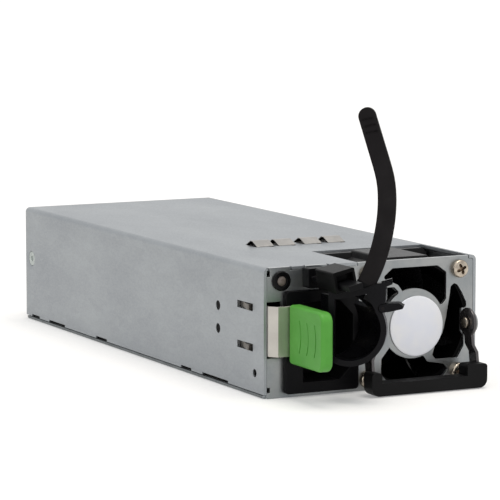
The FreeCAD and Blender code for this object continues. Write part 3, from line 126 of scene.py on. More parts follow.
for name, strength, colour, across, direction in lamps:
    lampData = bpy.data.lights.new(name, "SUN")
    lampData.energy = strength
    lampData.color = linear(colour)[:3]
    lampData.angle = math.radians(across)
    lamp = bpy.data.objects.new(name, lampData)
    away = np.array(direction) / np.linalg.norm(direction)
    lamp.rotation_euler = (math.acos(away[2]), 0, math.atan2(away[0], -away[1]))
    bpy.context.scene.collection.objects.link(lamp)

world = bpy.data.worlds.new("studio")
bpy.context.scene.world = world
tree = blankTree(world)
seen = seenBy(tree, "Is Camera Ray", "Is Glossy Ray", "Is Transmission Ray")
white = linear(backdrop["white"])
ambient = addNode(tree, "ShaderNodeBackground", {"Color": white, "Strength": backdrop["ambient"]})
shown = addNode(tree, "ShaderNodeBackground", {"Color": white, "Strength": backdrop["shown"]})
mixed = addNode(tree, "ShaderNodeMixShader", links={0: seen, 1: ambient.outputs[0], 2: shown.outputs[0]})
addNode(tree, "ShaderNodeOutputWorld", links={"Surface": mixed.outputs[0]})


def makeFloor():
    # pale painted board: a diffuse shade that takes the shadow, lifted to white where it is looked at
    half = backdrop["floorHalf"]
    mesh = bpy.data.meshes.new("floor")
    mesh.from_pydata([(-half, -half, 0), (half, -half, 0), (half, half, 0), (-half, half, 0)], [], [(0, 1, 2, 3)])
    floor = bpy.data.objects.new("floor", mesh)
    floor.location.z = -backdrop["floorDrop"] * mm
    bpy.context.scene.collection.objects.link(floor)
    material = bpy.data.materials.new("paleFloor")
    tree = blankTree(material)
    seen = seenBy(tree, "Is Camera Ray", "Is Glossy Ray")
    lift = addNode(tree, "ShaderNodeMath", {"operation": "MULTIPLY", 1: backdrop["floorLift"]}, {0: seen})
    shade = addNode(tree, "ShaderNodeBsdfDiffuse", {"Color": linear(backdrop["floorShade"])})
    glow = addNode(tree, "ShaderNodeEmission", {"Color": white}, {"Strength": lift.outputs[0]})
    both = addNode(tree, "ShaderNodeAddShader", links={0: shade.outputs[0], 1: glow.outputs[0]})
    addNode(tree, "ShaderNodeOutputMaterial", links={"Surface": both.outputs[0]})
    mesh.materials.append(material)


makeFloor()
print("camera, lamps and floor made")

# materials

usualLook = {"stretch": (1, 1, 1), "cloudDetail": 3.0, "cloudSpan": (0.35, 0.65), "grainDetail": 4.0,
             "grainSpan": (0.3, 0.7), "cutSpan": (0.6, 0.3), "bump": 0.3, "metallic": 0.0, "specular": 0.5,
             "coat": 0.0, "coatRoughness": 0.1, "clear": 0.0}


def perMetre(size):
    # how many pattern cells of that many millimetres fit in a metre
    return 1000 / size


def makeFinish(name, look):
    # a Principled surface: its colour wanders between two shades with a cloudy noise, and a finer
    # grain moves its roughness and its bump; an edge shade, if there is one, paints the cut edges paler, partly bare
    # steel and partly a painted highlight
    look = {**usualLook, **look}
    material = bpy.data.materials.new(name)
    tree = blankTree(material)
    where = addNode(tree, "ShaderNodeTexCoord").outputs["Object"]
    where = addNode(tree, "ShaderNodeMapping", {"Scale": look["stretch"]}, {"Vector": where}).outputs[0]
    clouds = addNode(tree, "ShaderNodeTexNoise",
                     {"Scale": perMetre(look["cloud"]), "Detail": look["cloudDetail"]}, {"Vector": where})
    low, high = look["cloudSpan"]
    cloudLevel = addNode(tree, "ShaderNodeMapRange", {"From Min": low, "From Max": high},
                         {"Value": clouds.outputs[0]})
    darker, lighter = look["shades"]
    colour = addNode(tree, "ShaderNodeMix", {"data_type": "RGBA", 6: linear(darker), 7: linear(lighter)},
                     {0: cloudLevel.outputs[0]}).outputs[2]
    grain = addNode(tree, "ShaderNodeTexNoise",
                    {"Scale": perMetre(look["grain"]), "Detail": look["grainDetail"]}, {"Vector": where})
    if "cell" in look:  # crystals that the molten zinc grows, each a slightly different grey
        depth = look["cellDepth"]
        cells = addNode(tree, "ShaderNodeTexVoronoi", {"Scale": perMetre(look["cell"])}, {"Vector": where})
        cellShade = addNode(tree, "ShaderNodeMapRange", {"To Min": 1 - depth, "To Max": 1 + depth},
                            {"Value": cells.outputs["Color"]})
        colour = addNode(tree, "ShaderNodeMix", {"data_type": "RGBA", "blend_type": "MULTIPLY", 0: 1.0},
                         {6: colour, 7: cellShade.outputs[0]}).outputs[2]
    if "edge" in look:  # the cut edge of a sheet faces away from the sheet's own axis
        normal = addNode(tree, "ShaderNodeNewGeometry").outputs["True Normal"]
        alongAxis = addNode(tree, "ShaderNodeVectorMath", {"operation": "DOT_PRODUCT", 1: look["axis"]}, {0: normal})
        flat = addNode(tree, "ShaderNodeMath", {"operation": "ABSOLUTE"}, {0: alongAxis.outputs["Value"]})
        low, high = look["cutSpan"]
        cut = addNode(tree, "ShaderNodeMapRange", {"From Min": low, "From Max": high}, {"Value": flat.outputs[0]})
        colour = addNode(tree, "ShaderNodeMix", {"data_type": "RGBA", 7: linear(look["edge"])},
                         {0: cut.outputs[0], 6: colour}).outputs[2]
    spans = dict(zip(("From Min", "From Max", "To Min", "To Max"), look["grainSpan"] + look["roughness"]))
    roughness = addNode(tree, "ShaderNodeMapRange", spans, {"Value": grain.outputs[0]})
    bump = addNode(tree, "ShaderNodeBump", {"Strength": look["bump"], "Distance": look["relief"] * mm},
                   {"Height": grain.outputs[0]})
    surface = addNode(tree, "ShaderNodeBsdfPrincipled",
                      {"Metallic": look["metallic"], "Specular IOR Level": look["specular"],
                       "Coat Weight": look["coat"], "Coat Roughness": look["coatRoughness"],
                       "Transmission Weight": look["clear"]},
                      {"Base Color": colour, "Roughness": roughness.outputs[0], "Normal": bump.outputs[0]})
    addNode(tree, "ShaderNodeOutputMaterial", links={"Surface": surface.outputs[0]})
    return material


looks = {
    # hot-dip zinc on rolled sheet: dull grey with faint crystals and long rolling streaks
    "galvanisedSheet": {"shades": ("#93979B", "#9DA1A4"), "cloud": 22, "grain": 0.5, "cell": 2.2, "cellDepth": 0.035,
                        "stretch": (1, 0.45, 1), "roughness": (0.36, 0.5), "relief": 0.02, "bump": 0.25,
                        "metallic": 1.0},
    # the same sheet on the end plates, its sheared edges painted paler, partly bare steel and partly a painted
    # highlight
    "galvanisedPlate": {"shades": ("#888D90", "#9A9C9C"), "cloud": 7, "grain": 0.4, "cell": 1.8, "cellDepth": 0.03,
                        "roughness": (0.3, 0.44), "relief": 0.02, "bump": 0.25, "metallic": 1.0,
                        "edge": "#C6C8C8", "axis": (0, 1, 0)},
    # rolled stainless spring strip: warm grey with fine lines along its length
    "springStainless": {"shades": ("#B2AEA8", "#BEBBB4"), "cloud": 6, "grain": 0.25, "stretch": (1, 0.1, 1),
                        "roughness": (0.38, 0.5), "relief": 0.01, "bump": 0.2, "metallic": 1.0},
    # the same strip painted darker as its shade behind the slots, and a darker zinc painted as shade on the base's
    # folded hem
    "springPaintedShade": {"shades": ("#5A5652", "#6E6A64"), "cloud": 2, "grain": 0.25, "roughness": (0.38, 0.5),
                   "relief": 0.01, "bump": 0.2, "metallic": 1.0},
    "zincPaintedShade": {"shades": ("#6A6E70", "#7A7E80"), "cloud": 5, "grain": 0.4, "roughness": (0.4, 0.55),
                 "relief": 0.02, "bump": 0.25, "metallic": 1.0},
    # nickel over brass on small screws: warm and bright
    "nickelScrew": {"shades": ("#9C9184", "#BFB5A6"), "cloud": 1.5, "grain": 0.3, "roughness": (0.16, 0.28),
                    "relief": 0.01, "bump": 0.2, "metallic": 1.0},
    # black nickel on pressed steel: dark, still a metal's reflections
    "blackNickel": {"shades": ("#474546", "#5C595A"), "cloud": 5, "grain": 0.3, "stretch": (1, 1, 0.3),
                    "roughness": (0.14, 0.22), "relief": 0.01, "bump": 0.2, "metallic": 0.8},
    # moulded polyamide with a fine spark texture
    "blackMoulding": {"shades": ("#0B0B0C", "#101011"), "cloud": 12, "grain": 0.35, "roughness": (0.42, 0.58),
                      "relief": 0.03, "bump": 0.3, "specular": 0.13},
    "inletMoulding": {"shades": ("#09090B", "#0E0E10"), "cloud": 10, "grain": 0.35, "roughness": (0.32, 0.46),
                      "relief": 0.02, "bump": 0.25, "specular": 0.09},
    "bladeMoulding": {"shades": ("#0A0A0B", "#101011"), "cloud": 8, "grain": 0.4, "roughness": (0.2, 0.3),
                      "relief": 0.015, "bump": 0.2, "specular": 0.5},
    # the clamp head's own black, also laid on the fan's bore and front face as painted shade
    "headBlackAndBoreShade": {"shades": ("#060607", "#09090A"), "cloud": 8, "grain": 0.35, "roughness": (0.3, 0.42),
                     "relief": 0.02, "bump": 0.25, "specular": 0.06},
    "fanMoulding": {"shades": ("#262627", "#333334"), "cloud": 8, "grain": 0.4, "roughness": (0.36, 0.5),
                    "relief": 0.02, "bump": 0.25, "specular": 0.22},
    # soft nylon of the strap: a satin dark grey with a slight warmth
    "strapNylon": {"shades": ("#1A1819", "#211F20"), "cloud": 7, "grain": 0.45, "roughness": (0.45, 0.6),
                   "relief": 0.03, "bump": 0.3, "specular": 0.07},
    # a blacker nylon for the clamp's lever and the strap's webs, also laid on the strap's collar as its painted
    # shade
    "collarNylonAndShade": {"shades": ("#08080B", "#0D0D10"), "cloud": 6, "grain": 0.4, "roughness": (0.24, 0.36),
                    "relief": 0.02, "bump": 0.25, "specular": 0.1},
    # coloured acetal of the touch point, waxy and even
    "greenAcetal": {"shades": ("#4D9835", "#57A23F"), "cloud": 8, "grain": 0.3, "roughness": (0.36, 0.46),
                    "relief": 0.015, "bump": 0.2, "specular": 0.3},
    # bare polyester film, bluish white
    "bareFilm": {"shades": ("#F2F5FF", "#FAFBFF"), "cloud": 7, "grain": 0.6, "roughness": (0.3, 0.4),
                 "relief": 0.01, "bump": 0.15, "specular": 0.7, "coat": 0.8},
    "glossRing": {"shades": ("#050506", "#0A0A0B"), "cloud": 4, "grain": 0.3, "roughness": (0.16, 0.26),
                  "relief": 0.005, "bump": 0.1, "specular": 0.14},
    "frostedLens": {"shades": ("#5E5651", "#756B65"), "cloud": 1.2, "grain": 0.2, "roughness": (0.2, 0.35),
                    "relief": 0.01, "bump": 0.2, "specular": 0.4},
    # the fingers' upper faces, scuffed nearly as pale as the zinc, and a near-black of painted shade for faces in
    # shade
    "scuffedStainless": {"shades": ("#9D9B98", "#A8A5A1"), "cloud": 3, "grain": 0.25, "roughness": (0.34, 0.46),
                         "relief": 0.01, "bump": 0.2, "metallic": 1.0},
    # painted shade, near-black: the fingers' insides, the base's hidden flanges, the slot walls and the rivet holes
    "paintedShadeBlack": {"shades": ("#0A0A0A", "#131211"), "cloud": 2, "grain": 0.2, "roughness": (0.6, 0.75),
                  "relief": 0.01, "bump": 0.2, "specular": 0.1},
    # paler zinc of the flush screws
    "brightZinc": {"shades": ("#A4ABA8", "#B6BCB9"), "cloud": 1.5, "grain": 0.3, "roughness": (0.35, 0.5),
                   "relief": 0.01, "bump": 0.2, "metallic": 1.0},
    # the driven recess of a screw, a dark brown that is painted shade of the recess
    "recessPaintedShade": {"shades": ("#5C4D3F", "#877563"), "cloud": 0.8, "grain": 0.2, "roughness": (0.3, 0.45),
                   "relief": 0.02, "bump": 0.3, "metallic": 0.9},
    # dull nickel on the rivet heads
    "rivetNickel": {"shades": ("#8F8578", "#A89F93"), "cloud": 1.2, "grain": 0.2, "roughness": (0.2, 0.32),
                    "relief": 0.01, "bump": 0.2, "metallic": 1.0},
    # solder mask over copper
    "boardLaminate": {"shades": ("#0E4A2A", "#156038"), "cloud": 4, "grain": 0.6, "roughness": (0.25, 0.38),
                      "relief": 0.02, "bump": 0.3},
    "contactGold": {"shades": ("#D2A148", "#E3B964"), "cloud": 2, "grain": 0.2, "roughness": (0.2, 0.3),
                    "relief": 0.005, "bump": 0.15, "metallic": 1.0},
    "turnedNickel": {"shades": ("#ADA79C", "#C4BEB2"), "cloud": 3, "grain": 0.2, "stretch": (1, 0.2, 1),
                     "roughness": (0.2, 0.32), "relief": 0.01, "bump": 0.2, "metallic": 1.0},
    "enamelledCopper": {"shades": ("#9A4A1E", "#B9622C"), "cloud": 2, "grain": 0.3, "roughness": (0.22, 0.34),
                        "relief": 0.02, "bump": 0.3, "metallic": 0.9},
    "sinteredFerrite": {"shades": ("#26262A", "#303034"), "cloud": 4, "grain": 0.3, "roughness": (0.5, 0.7),
                        "relief": 0.04, "bump": 0.4},
    "extrudedAluminium": {"shades": ("#BFC1C3", "#D0D2D4"), "cloud": 6, "grain": 0.3, "stretch": (1, 0.1, 1),
                          "roughness": (0.28, 0.42), "relief": 0.02, "bump": 0.25, "metallic": 1.0},
    "canSleeve": {"shades": ("#1B1E3A", "#23274A"), "cloud": 9, "grain": 0.5, "roughness": (0.25, 0.36),
                  "relief": 0.01, "bump": 0.15},
    "yellowBox": {"shades": ("#C39A22", "#D3AB33"), "cloud": 6, "grain": 0.4, "roughness": (0.3, 0.42),
                  "relief": 0.02, "bump": 0.2},
    "epoxyPackage": {"shades": ("#151516", "#1E1E20"), "cloud": 4, "grain": 0.3, "roughness": (0.4, 0.55),
                     "relief": 0.02, "bump": 0.3},
    "fuseGlass": {"shades": ("#E6ECEA", "#F2F5F4"), "cloud": 5, "grain": 1.0, "roughness": (0.05, 0.1),
                  "relief": 0.002, "bump": 0.05, "clear": 0.9},
    "insulatingFilm": {"shades": ("#D7CFA9", "#E2DABB"), "cloud": 15, "grain": 0.8, "roughness": (0.35, 0.5),
                       "relief": 0.01, "bump": 0.2},
    "whiteNylon": {"shades": ("#DDD8C8", "#E9E4D6"), "cloud": 4, "grain": 0.4, "roughness": (0.35, 0.5),
                   "relief": 0.02, "bump": 0.2},
    "wireSleeve": {"shades": ("#5A1111", "#7A1A18"), "cloud": 3, "grain": 0.4, "roughness": (0.35, 0.5),
                   "relief": 0.02, "bump": 0.2},
}
finishes = {name: makeFinish(name, look) for name, look in looks.items()}
finishOfSlot = {
    "galvanised_steel": "galvanisedSheet", "stainless_steel": "springStainless", "plated_screw": "nickelScrew",
    "dark_steel": "blackNickel", "black_plastic": "blackMoulding", "fan_plastic": "fanMoulding",
    "strap_nylon": "strapNylon", "green_plastic": "greenAcetal", "label_film": "bareFilm",
    "light_lens": "frostedLens", "board_laminate": "boardLaminate", "gold": "contactGold",
    "nickel_blade": "turnedNickel", "copper": "enamelledCopper", "ferrite": "sinteredFerrite",
    "aluminium": "extrudedAluminium", "can_sleeve": "canSleeve", "film_box": "yellowBox",
    "relay_case": "epoxyPackage", "chip_epoxy": "epoxyPackage", "glass": "fuseGlass",
    "insulating_film": "insulatingFilm", "white_nylon": "whiteNylon", "wire_insulation": "wireSleeve",
    "magnet": "sinteredFerrite", "bearing_steel": "turnedNickel",
}
finishOfNode = {"front_panel": "galvanisedPlate", "rear_panel": "galvanisedPlate", "inlet_housing": "inletMoulding",
                # latch_rivets take the near-black that is painted shade of the holes they sit in
                "light_holder": "glossRing", "earth_spring_strip": "scuffedStainless", "latch_rivets": "paintedShadeBlack",
                "side_screws": "brightZinc", "handle_rivets": "rivetNickel", "clamp_slider": "headBlackAndBoreShade",
                "clamp_rail": "inletMoulding", "clamp_lever": "collarNylonAndShade", "fan_rotor": "bladeMoulding"}


def usualFinish(node):
    # the finish named for the node, or else the one of its material slot
    return finishOfNode.get(node, finishOfSlot[slotOfNode[node]])


for name, node in nodes.items():
    node.data.materials.clear()
    node.data.materials.append(finishes[usualFinish(name)])
print("materials made:", len(finishes))

# shapes

madeShape = {"smoothBelow": 35.0}


def addShape(name, shells, node, finish=None, marks=None):
    # one mesh from (points, faces) shells in millimetres, with a finish number for each face if there are marks
    points, faces, start = [], [], 0
    for shellPoints, shellFaces in shells:
        points.append(np.asarray(shellPoints).reshape(-1, 3))
        faces += [[start + i for i in face] for face in shellFaces]
        start += len(points[-1])
    mesh = bpy.data.meshes.new(name)
    mesh.from_pydata((np.vstack(points) * mm).tolist(), [], faces)
    if marks is not None:
        mesh.polygons.foreach_set("material_index", np.concatenate(marks).astype(np.int32))
    work = bmesh.new()
    work.from_mesh(mesh)
    bmesh.ops.recalc_face_normals(work, faces=work.faces)
    work.to_mesh(mesh)
    work.free()
    return placeMesh(name, mesh, node, finish, madeShape["smoothBelow"])


def placeMesh(name, mesh, node, finish, smoothBelow):
    # the mesh as an object that is smooth below the angle, rides where the node rides and takes its place
    mesh.update()
    mesh.polygons.foreach_set("use_smooth", [True] * len(mesh.polygons))
    mesh.set_sharp_from_angle(angle=math.radians(smoothBelow))
    shape = bpy.data.objects.new(name, mesh)
    bpy.context.scene.collection.objects.link(shape)
    for one in finish or [usualFinish(node)]:
        mesh.materials.append(finishes[one])
    even = shape.modifiers.new("evenNormals", "WEIGHTED_NORMAL")
    even.keep_sharp = True
    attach(shape, bodyOfNode[node])
    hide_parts(node)
    return shape


def gridShell(grid, closeRows=False, closeColumns=True, capRows=True):
    # quads between neighbouring points of a (rows, columns, 3) grid, with its first and last rows filled if asked
    rows, columns = grid.shape[:2]
    index = np.arange(rows * columns).reshape(rows, columns)
    if closeColumns:
        index = np.hstack([index, index[:, :1]])
    if closeRows:
        index = np.vstack([index, index[:1]])
    quads = np.stack([index[:-1, :-1], index[:-1, 1:], index[1:, 1:], index[1:, :-1]], axis=-1).reshape(-1, 4)
    faces = quads.tolist()
    if capRows:
        faces += [index[0, :columns][::-1].tolist(), index[-1, :columns].tolist()]
    return grid.reshape(-1, 3), faces


def roundedOutline(corners, radius, steps=5):
    # each corner c becomes (1-t)^2 a + 2t(1-t) c + t^2 b, with a and b on its two sides, a radius away
    corner = np.array(corners, float)
    before, after = np.roll(corner, 1, axis=0) - corner, np.roll(corner, -1, axis=0) - corner
    a = corner + before / np.linalg.norm(before, axis=1, keepdims=True) * radius
    b = corner + after / np.linalg.norm(after, axis=1, keepdims=True) * radius
    t = np.linspace(0, 1, steps + 1)[None, :, None]
    curve = (1 - t) ** 2 * a[:, None] + 2 * t * (1 - t) * corner[:, None] + t ** 2 * b[:, None]
    return curve.reshape(-1, 2)


def prismShell(outline, height, rim, origin, across, along, out, steps=5):
    # the outline carried outwards by the height; at its far end it draws in by r(1 - sin a) and falls back as
    # far, with a from 90 degrees down to 0
    run = np.roll(outline, -1, axis=0) - np.roll(outline, 1, axis=0)
    run /= np.linalg.norm(run, axis=1, keepdims=True)
    outward = np.stack([run[:, 1], -run[:, 0]], axis=1)
    inset = rim * (1 - np.sin(np.linspace(math.pi / 2, 0, steps)))
    insets, levels = np.concatenate([[0.0], inset]), np.concatenate([[0.0], height - inset])
    flat = outline[None] - insets[:, None, None] * outward[None]
    levels = np.broadcast_to(levels[:, None, None], flat.shape[:2] + (1,))
    grid = np.array(origin) + flat[..., :1] * across + flat[..., 1:] * along + levels * out
    return gridShell(grid)


def latheGrid(profile, x, z, y, steps=64):
    # a (radius, height) profile turned about an axis along Y: (x + r cos a, y - h, z + r sin a)
    angle = np.linspace(0, 2 * math.pi, steps, endpoint=False)
    profile = np.array(profile, float)
    radius, height = profile[:, :1], np.broadcast_to(profile[:, 1:], (len(profile), steps))
    return np.dstack([x + radius * np.cos(angle), y - height, z + radius * np.sin(angle)])


def quarterTurn(radius, height, rim, steps=5):
    # profile points of a rounded rim: (R - r + r cos a, H - r + r sin a)
    angle = np.linspace(0, math.pi / 2, steps)
    return [(radius - rim + rim * math.cos(a), height - rim + rim * math.sin(a)) for a in angle]


copied = {"weld": 0.002, "flatBelow": 0.5, "sharpAbove": 30.0, "smoothBelow": 40.0, "profile": 0.5}


def roundedCopy(name, node, rim, finish=None, segments=2, outerOnly=0.0, depth=0.0, seam=None):
    # the node's own surface: doubles merged, cut to a depth if asked, flat faces made whole and split along the
    # plane of a seam if asked, then every sharp edge given a small radius
    work = bmesh.new()
    work.from_mesh(nodes[node].data)
    bmesh.ops.remove_doubles(work, verts=work.verts, dist=copied["weld"] * mm)
    if depth:
        plane = (0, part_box(node)[0].y + depth * mm, 0)
        cut = bmesh.ops.bisect_plane(work, geom=work.verts[:] + work.edges[:] + work.faces[:], plane_co=plane,
                                     plane_no=(0, 1, 0), clear_outer=True)["geom_cut"]
        bmesh.ops.triangle_fill(work, use_beauty=True, use_dissolve=True,
                                edges=[part for part in cut if isinstance(part, bmesh.types.BMEdge)])
        bmesh.ops.recalc_face_normals(work, faces=work.faces)
    bmesh.ops.dissolve_limit(work, angle_limit=math.radians(copied["flatBelow"]), verts=work.verts,
                             edges=work.edges)
    if seam:
        bmesh.ops.bisect_plane(work, geom=work.verts[:] + work.edges[:] + work.faces[:], plane_co=seam[0],
                               plane_no=seam[1])
    limit = math.radians(copied["sharpAbove"])
    sharp = [e for e in work.edges if len(e.link_faces) == 2 and e.calc_face_angle(0) > limit]
    if outerOnly:  # leave alone the edges that lie inside the piece's outline as seen from the side
        low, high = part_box(node)
        edge = outerOnly * mm
        sharp = [e for e in sharp if not all(low.y + edge < v.co.y < high.y - edge and
                                             low.z + edge < v.co.z < high.z - edge for v in e.verts)]
    bmesh.ops.bevel(work, geom=sharp, offset=rim * mm, segments=segments, profile=copied["profile"],
                    affect="EDGES", clamp_overlap=True)
    mesh = bpy.data.meshes.new(name)
    work.to_mesh(mesh)
    work.free()
    return placeMesh(name, mesh, node, finish, copied["smoothBelow"])


sheetRim = 0.12
for name, node, rim in [  # piece, node, radius of its edges
    ("frontPlate", "front_panel", sheetRim), ("rearPlate", "rear_panel", sheetRim),
    ("inletMoulding", "inlet_housing", 0.25), ("leverMoulding", "clamp_lever", 0.25),
    ("sliderMoulding", "clamp_slider", 0.3), ("railMoulding", "clamp_rail", 0.2),
    ("leftArm", "handle_arm_left", 0.2), ("rightArm", "handle_arm_right", 0.2),
    ("inletBlades", "inlet_pins", 0.15), ("lightRing", "light_holder", 0.15),
    ("pivotRivets", "handle_rivets", 0.2), ("flushScrews", "side_screws", 0.12),
    ("stripRivets", "latch_rivets", 0.1),
]:
    roundedCopy(name, node, rim)

touchTab = {"rim": 0.9, "segments": 4, "outerOnly": 1.2}
roundedCopy("touchTab", "latch_tab", **touchTab)

gripMoulding = {"rim": 0.5, "depth": 5.2}
roundedCopy("gripMoulding", "handle_grip", **gripMoulding)
print("rounded copies made")


def markFaces(shape, test):
    # each face takes the finish whose number the test gives for its centre (mm) and its normal
    centres, normals = np.empty((2, len(shape.data.polygons) * 3))
    shape.data.polygons.foreach_get("center", centres)
    shape.data.polygons.foreach_get("normal", normals)
    chosen = test(centres.reshape(-1, 3) / mm, normals.reshape(-1, 3))
    shape.data.polygons.foreach_set("material_index", chosen.astype(np.int32))


baseSheet = {"rim": sheetRim, "hemTop": 1.01, "flangeInset": 0.3, "hemInset": 0.8, "facing": 0.9}
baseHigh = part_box("case_base")[1].x / mm


def baseFinish(centres, normals, look=baseSheet):
    # above the hem the flanges, seen only through the cover's notches and slots, are painted dark as their shade;
    # the hem is painted a darker zinc as its shade all round but for its underside
    reach, height, hemTop = abs(centres[:, 0]), centres[:, 2], look["hemTop"]
    flange = (abs(normals[:, 0]) > look["facing"]) & (reach < baseHigh - look["flangeInset"]) & (height > hemTop)
    hem = (reach > baseHigh - look["hemInset"]) & (height < hemTop) & (normals[:, 2] > -look["facing"])
    return np.select([flange, hem], [1, 2])


markFaces(roundedCopy("baseSheet", "case_base", baseSheet["rim"], ["galvanisedSheet", "paintedShadeBlack", "zincPaintedShade"],
                      seam=((0, 0, baseSheet["hemTop"] * mm), (0, 0, 1))), baseFinish)


def insideCase(centres, normals):
    # the latch spring is painted darker behind the front, as its shade where it shows through the cover's slots
    return centres[:, 1] > frontY / mm


markFaces(roundedCopy("latchStrip", "latch_spring", sheetRim, ["springStainless", "springPaintedShade"],
                      seam=((0, frontY, 0), (0, 1, 0))), insideCase)

coverSheet = {"rim": sheetRim, "upright": 0.3, "above": 38.0, "beyond": 3, "fromSide": 5}
fingerLow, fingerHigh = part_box("earth_spring_strip")


def slotWalls(centres, normals, look=coverSheet):
    # the upright walls of the small slots round the fingers, painted dark as the shade inside them
    upright = (abs(normals[:, 2]) < look["upright"]) & (centres[:, 2] > look["above"])
    nearFingers = ((centres[:, 1] > fingerLow.y / mm - look["beyond"]) &
                   (centres[:, 1] < fingerHigh.y / mm + look["beyond"]))
    return upright & nearFingers & (abs(centres[:, 0]) < baseHigh - look["fromSide"])


markFaces(roundedCopy("coverSheet", "case_cover", coverSheet["rim"], ["galvanisedSheet", "paintedShadeBlack"]), slotWalls)

fanHousing = {"rim": 0.3, "frontDepth": 0.4, "inward": 1}


def fanBoreShade(centres, normals, look=fanHousing):
    # painted shade: the front face, and the bore, where the normal points back to the axis, take the darker black
    outwards = (centres[:, 0] - fanX) * normals[:, 0] + (centres[:, 2] - fanZ) * normals[:, 2]
    return (centres[:, 1] < fanLow.y / mm + look["frontDepth"]) | (outwards < -look["inward"])


markFaces(roundedCopy("fanHousing", "fan_frame", fanHousing["rim"], ["fanMoulding", "headBlackAndBoreShade"]), fanBoreShade)

earthFingers = {"rim": 0.06, "under": 0.1}


def fingerUndersides(centres, normals, look=earthFingers):
    # faces that look down are painted near-black as their shade
    return normals[:, 2] < -look["under"]


markFaces(roundedCopy("earthFingers", "earth_spring_strip", earthFingers["rim"], ["scuffedStainless", "paintedShadeBlack"]),
          fingerUndersides)
print("two-tone copies made")

strap = {"rim": 0.3, "turn": 35.0, "lean": 107.0, "halfThick": 0.9, "head": 38.5, "centre": (-17.5, -110.5, 22.6),
         "tipDepth": 0.05, "ribs": (3.4, 5.4, 7.4), "ribLength": 3.6, "ribWidth": 0.5, "ribHeight": 0.25,
         "ribTurn": 4.0, "ribSink": 0.2, "ribRim": 0.18, "ribRound": 0.98, "ribSteps": 4,
         "root": [(7.2, 12.3), (5.6, 12.2), (3.6, 11.9), (1.4, 11.6), (2.0, 12.9), (2.55, 14.6), (3.6, 15.3)],
         "stop": [(9.8, 12.3), (12.6, 13.5), (12.5, 15.2), (9.4, 14.3)],
         "web": (33.0, 66.0, 9.5, 11.0), "webBack": 1.5, "webDepth": 5.0, "webRim": 0.2, "webSteps": 9}


def makeStrap(look):
    # the strap's own surface, painted darker at the collar as its shade, with ribs across the tail at set distances
    # from its tip, a root that joins the tail to the bar, the bar's blunt end beside it, and a web that carries the
    # collar round, (r cos a, r sin a) in the strap's plane
    shape = roundedCopy("strapMoulding", "clamp_strap", look["rim"], ["strapNylon", "collarNylonAndShade"])
    # faces below the head height take the blacker nylon, painted shade of the deep collar
    markFaces(shape, lambda centres, normals: centres[:, 2] < look["head"])
    points = np.empty(len(nodes["clamp_strap"].data.vertices) * 3)
    nodes["clamp_strap"].data.vertices.foreach_get("co", points)
    points = points.reshape(-1, 3) / mm
    turn, lean = math.radians(look["turn"]), math.radians(look["lean"])
    up = np.array([0.0, 0.0, 1.0])
    side = np.array([math.cos(turn), -math.sin(turn), 0.0])
    out = np.array([-math.sin(turn), -math.cos(turn), 0.0])
    along = side * math.cos(lean) + up * math.sin(lean)
    across = np.cross(out, along)
    tip = points[points @ along > (points @ along).max() - look["tipDepth"]].mean(axis=0)
    half, width = look["ribLength"] / 2, look["ribWidth"] / 2
    tilt = math.radians(look["ribTurn"])
    ribAcross = across * math.cos(tilt) + along * math.sin(tilt)
    ribAlong = along * math.cos(tilt) - across * math.sin(tilt)
    outline = roundedOutline([(-half, -width), (half, -width), (half, width), (-half, width)],
                             width * look["ribRound"], look["ribSteps"])
    centre, thick, sink = np.array(look["centre"]), look["halfThick"], look["ribSink"]
    start = tip + out * (thick - sink - (tip - centre) @ out)
    shells = [prismShell(outline, look["ribHeight"] + sink, look["ribRim"], start - along * back, ribAcross,
                         ribAlong, out) for back in look["ribs"]]
    addShape("tailRibs", shells, "clamp_strap")
    root, stop = [prismShell(np.array(look[part]), 2 * thick, look["rim"], centre - out * thick, side, up, out)
                  for part in ("root", "stop")]
    first, last, inner, outer = look["web"]
    angle = np.radians(np.linspace(first, last, look["webSteps"]))
    ring = np.stack([np.cos(angle), np.sin(angle)], axis=1)
    web = prismShell(np.vstack([ring * inner, ring[::-1] * outer])[::-1], look["webDepth"], look["webRim"],
                     centre - out * look["webBack"], side, up, np.array([0.0, 1.0, 0.0]))
    addShape("strapWebs", [root, stop, web], "clamp_strap", ["collarNylonAndShade"])


makeStrap(strap)

housingPad = {"half": 7.4, "edge": 0.5, "wall": 0.45, "flange": 3.0, "rise": 0.8, "rim": 0.01, "steps": 25}


def makeHousingPad(look):
    # flat on the fan's barrel, which stands into the cover's opening: the barrel's arc z = sqrt(R^2 - x^2), closed
    # by a level line with rounded ends, and carried from flange to flange
    reach = (fanHigh.z - fanLow.z) / 2 / mm
    length = (fanHigh.y - fanLow.y) / mm - 2 * look["flange"]
    x = np.linspace(-look["half"], look["half"], look["steps"])
    arc = np.stack([x, np.sqrt((reach - look["wall"]) ** 2 - x ** 2)], axis=1)
    corner = np.array(quarterTurn(look["half"], reach + look["rise"], look["edge"]))
    outline = np.vstack([arc, corner, corner[::-1] * (-1, 1)])
    start = (fanX, fanLow.y / mm + look["flange"], fanZ)
    across, out, up = np.eye(3)
    addShape("housingPad", [prismShell(outline, length, look["rim"], start, across, up, out)], "fan_frame")


makeHousingPad(housingPad)
print("strap and housing pad made")

fanWheel = {"blades": 7, "hub": 10.6, "bore": 1.4, "tip": 17.85, "wall": 1.2, "rim": 1.3, "wrap": 50.0,
            "lean": 16.0, "camber": 0.1, "thick": 1.1, "thinEdge": 0.4, "sunk": 0.3, "margin": 1.2, "start": 9.0,
            "rows": 9, "steps": 12}


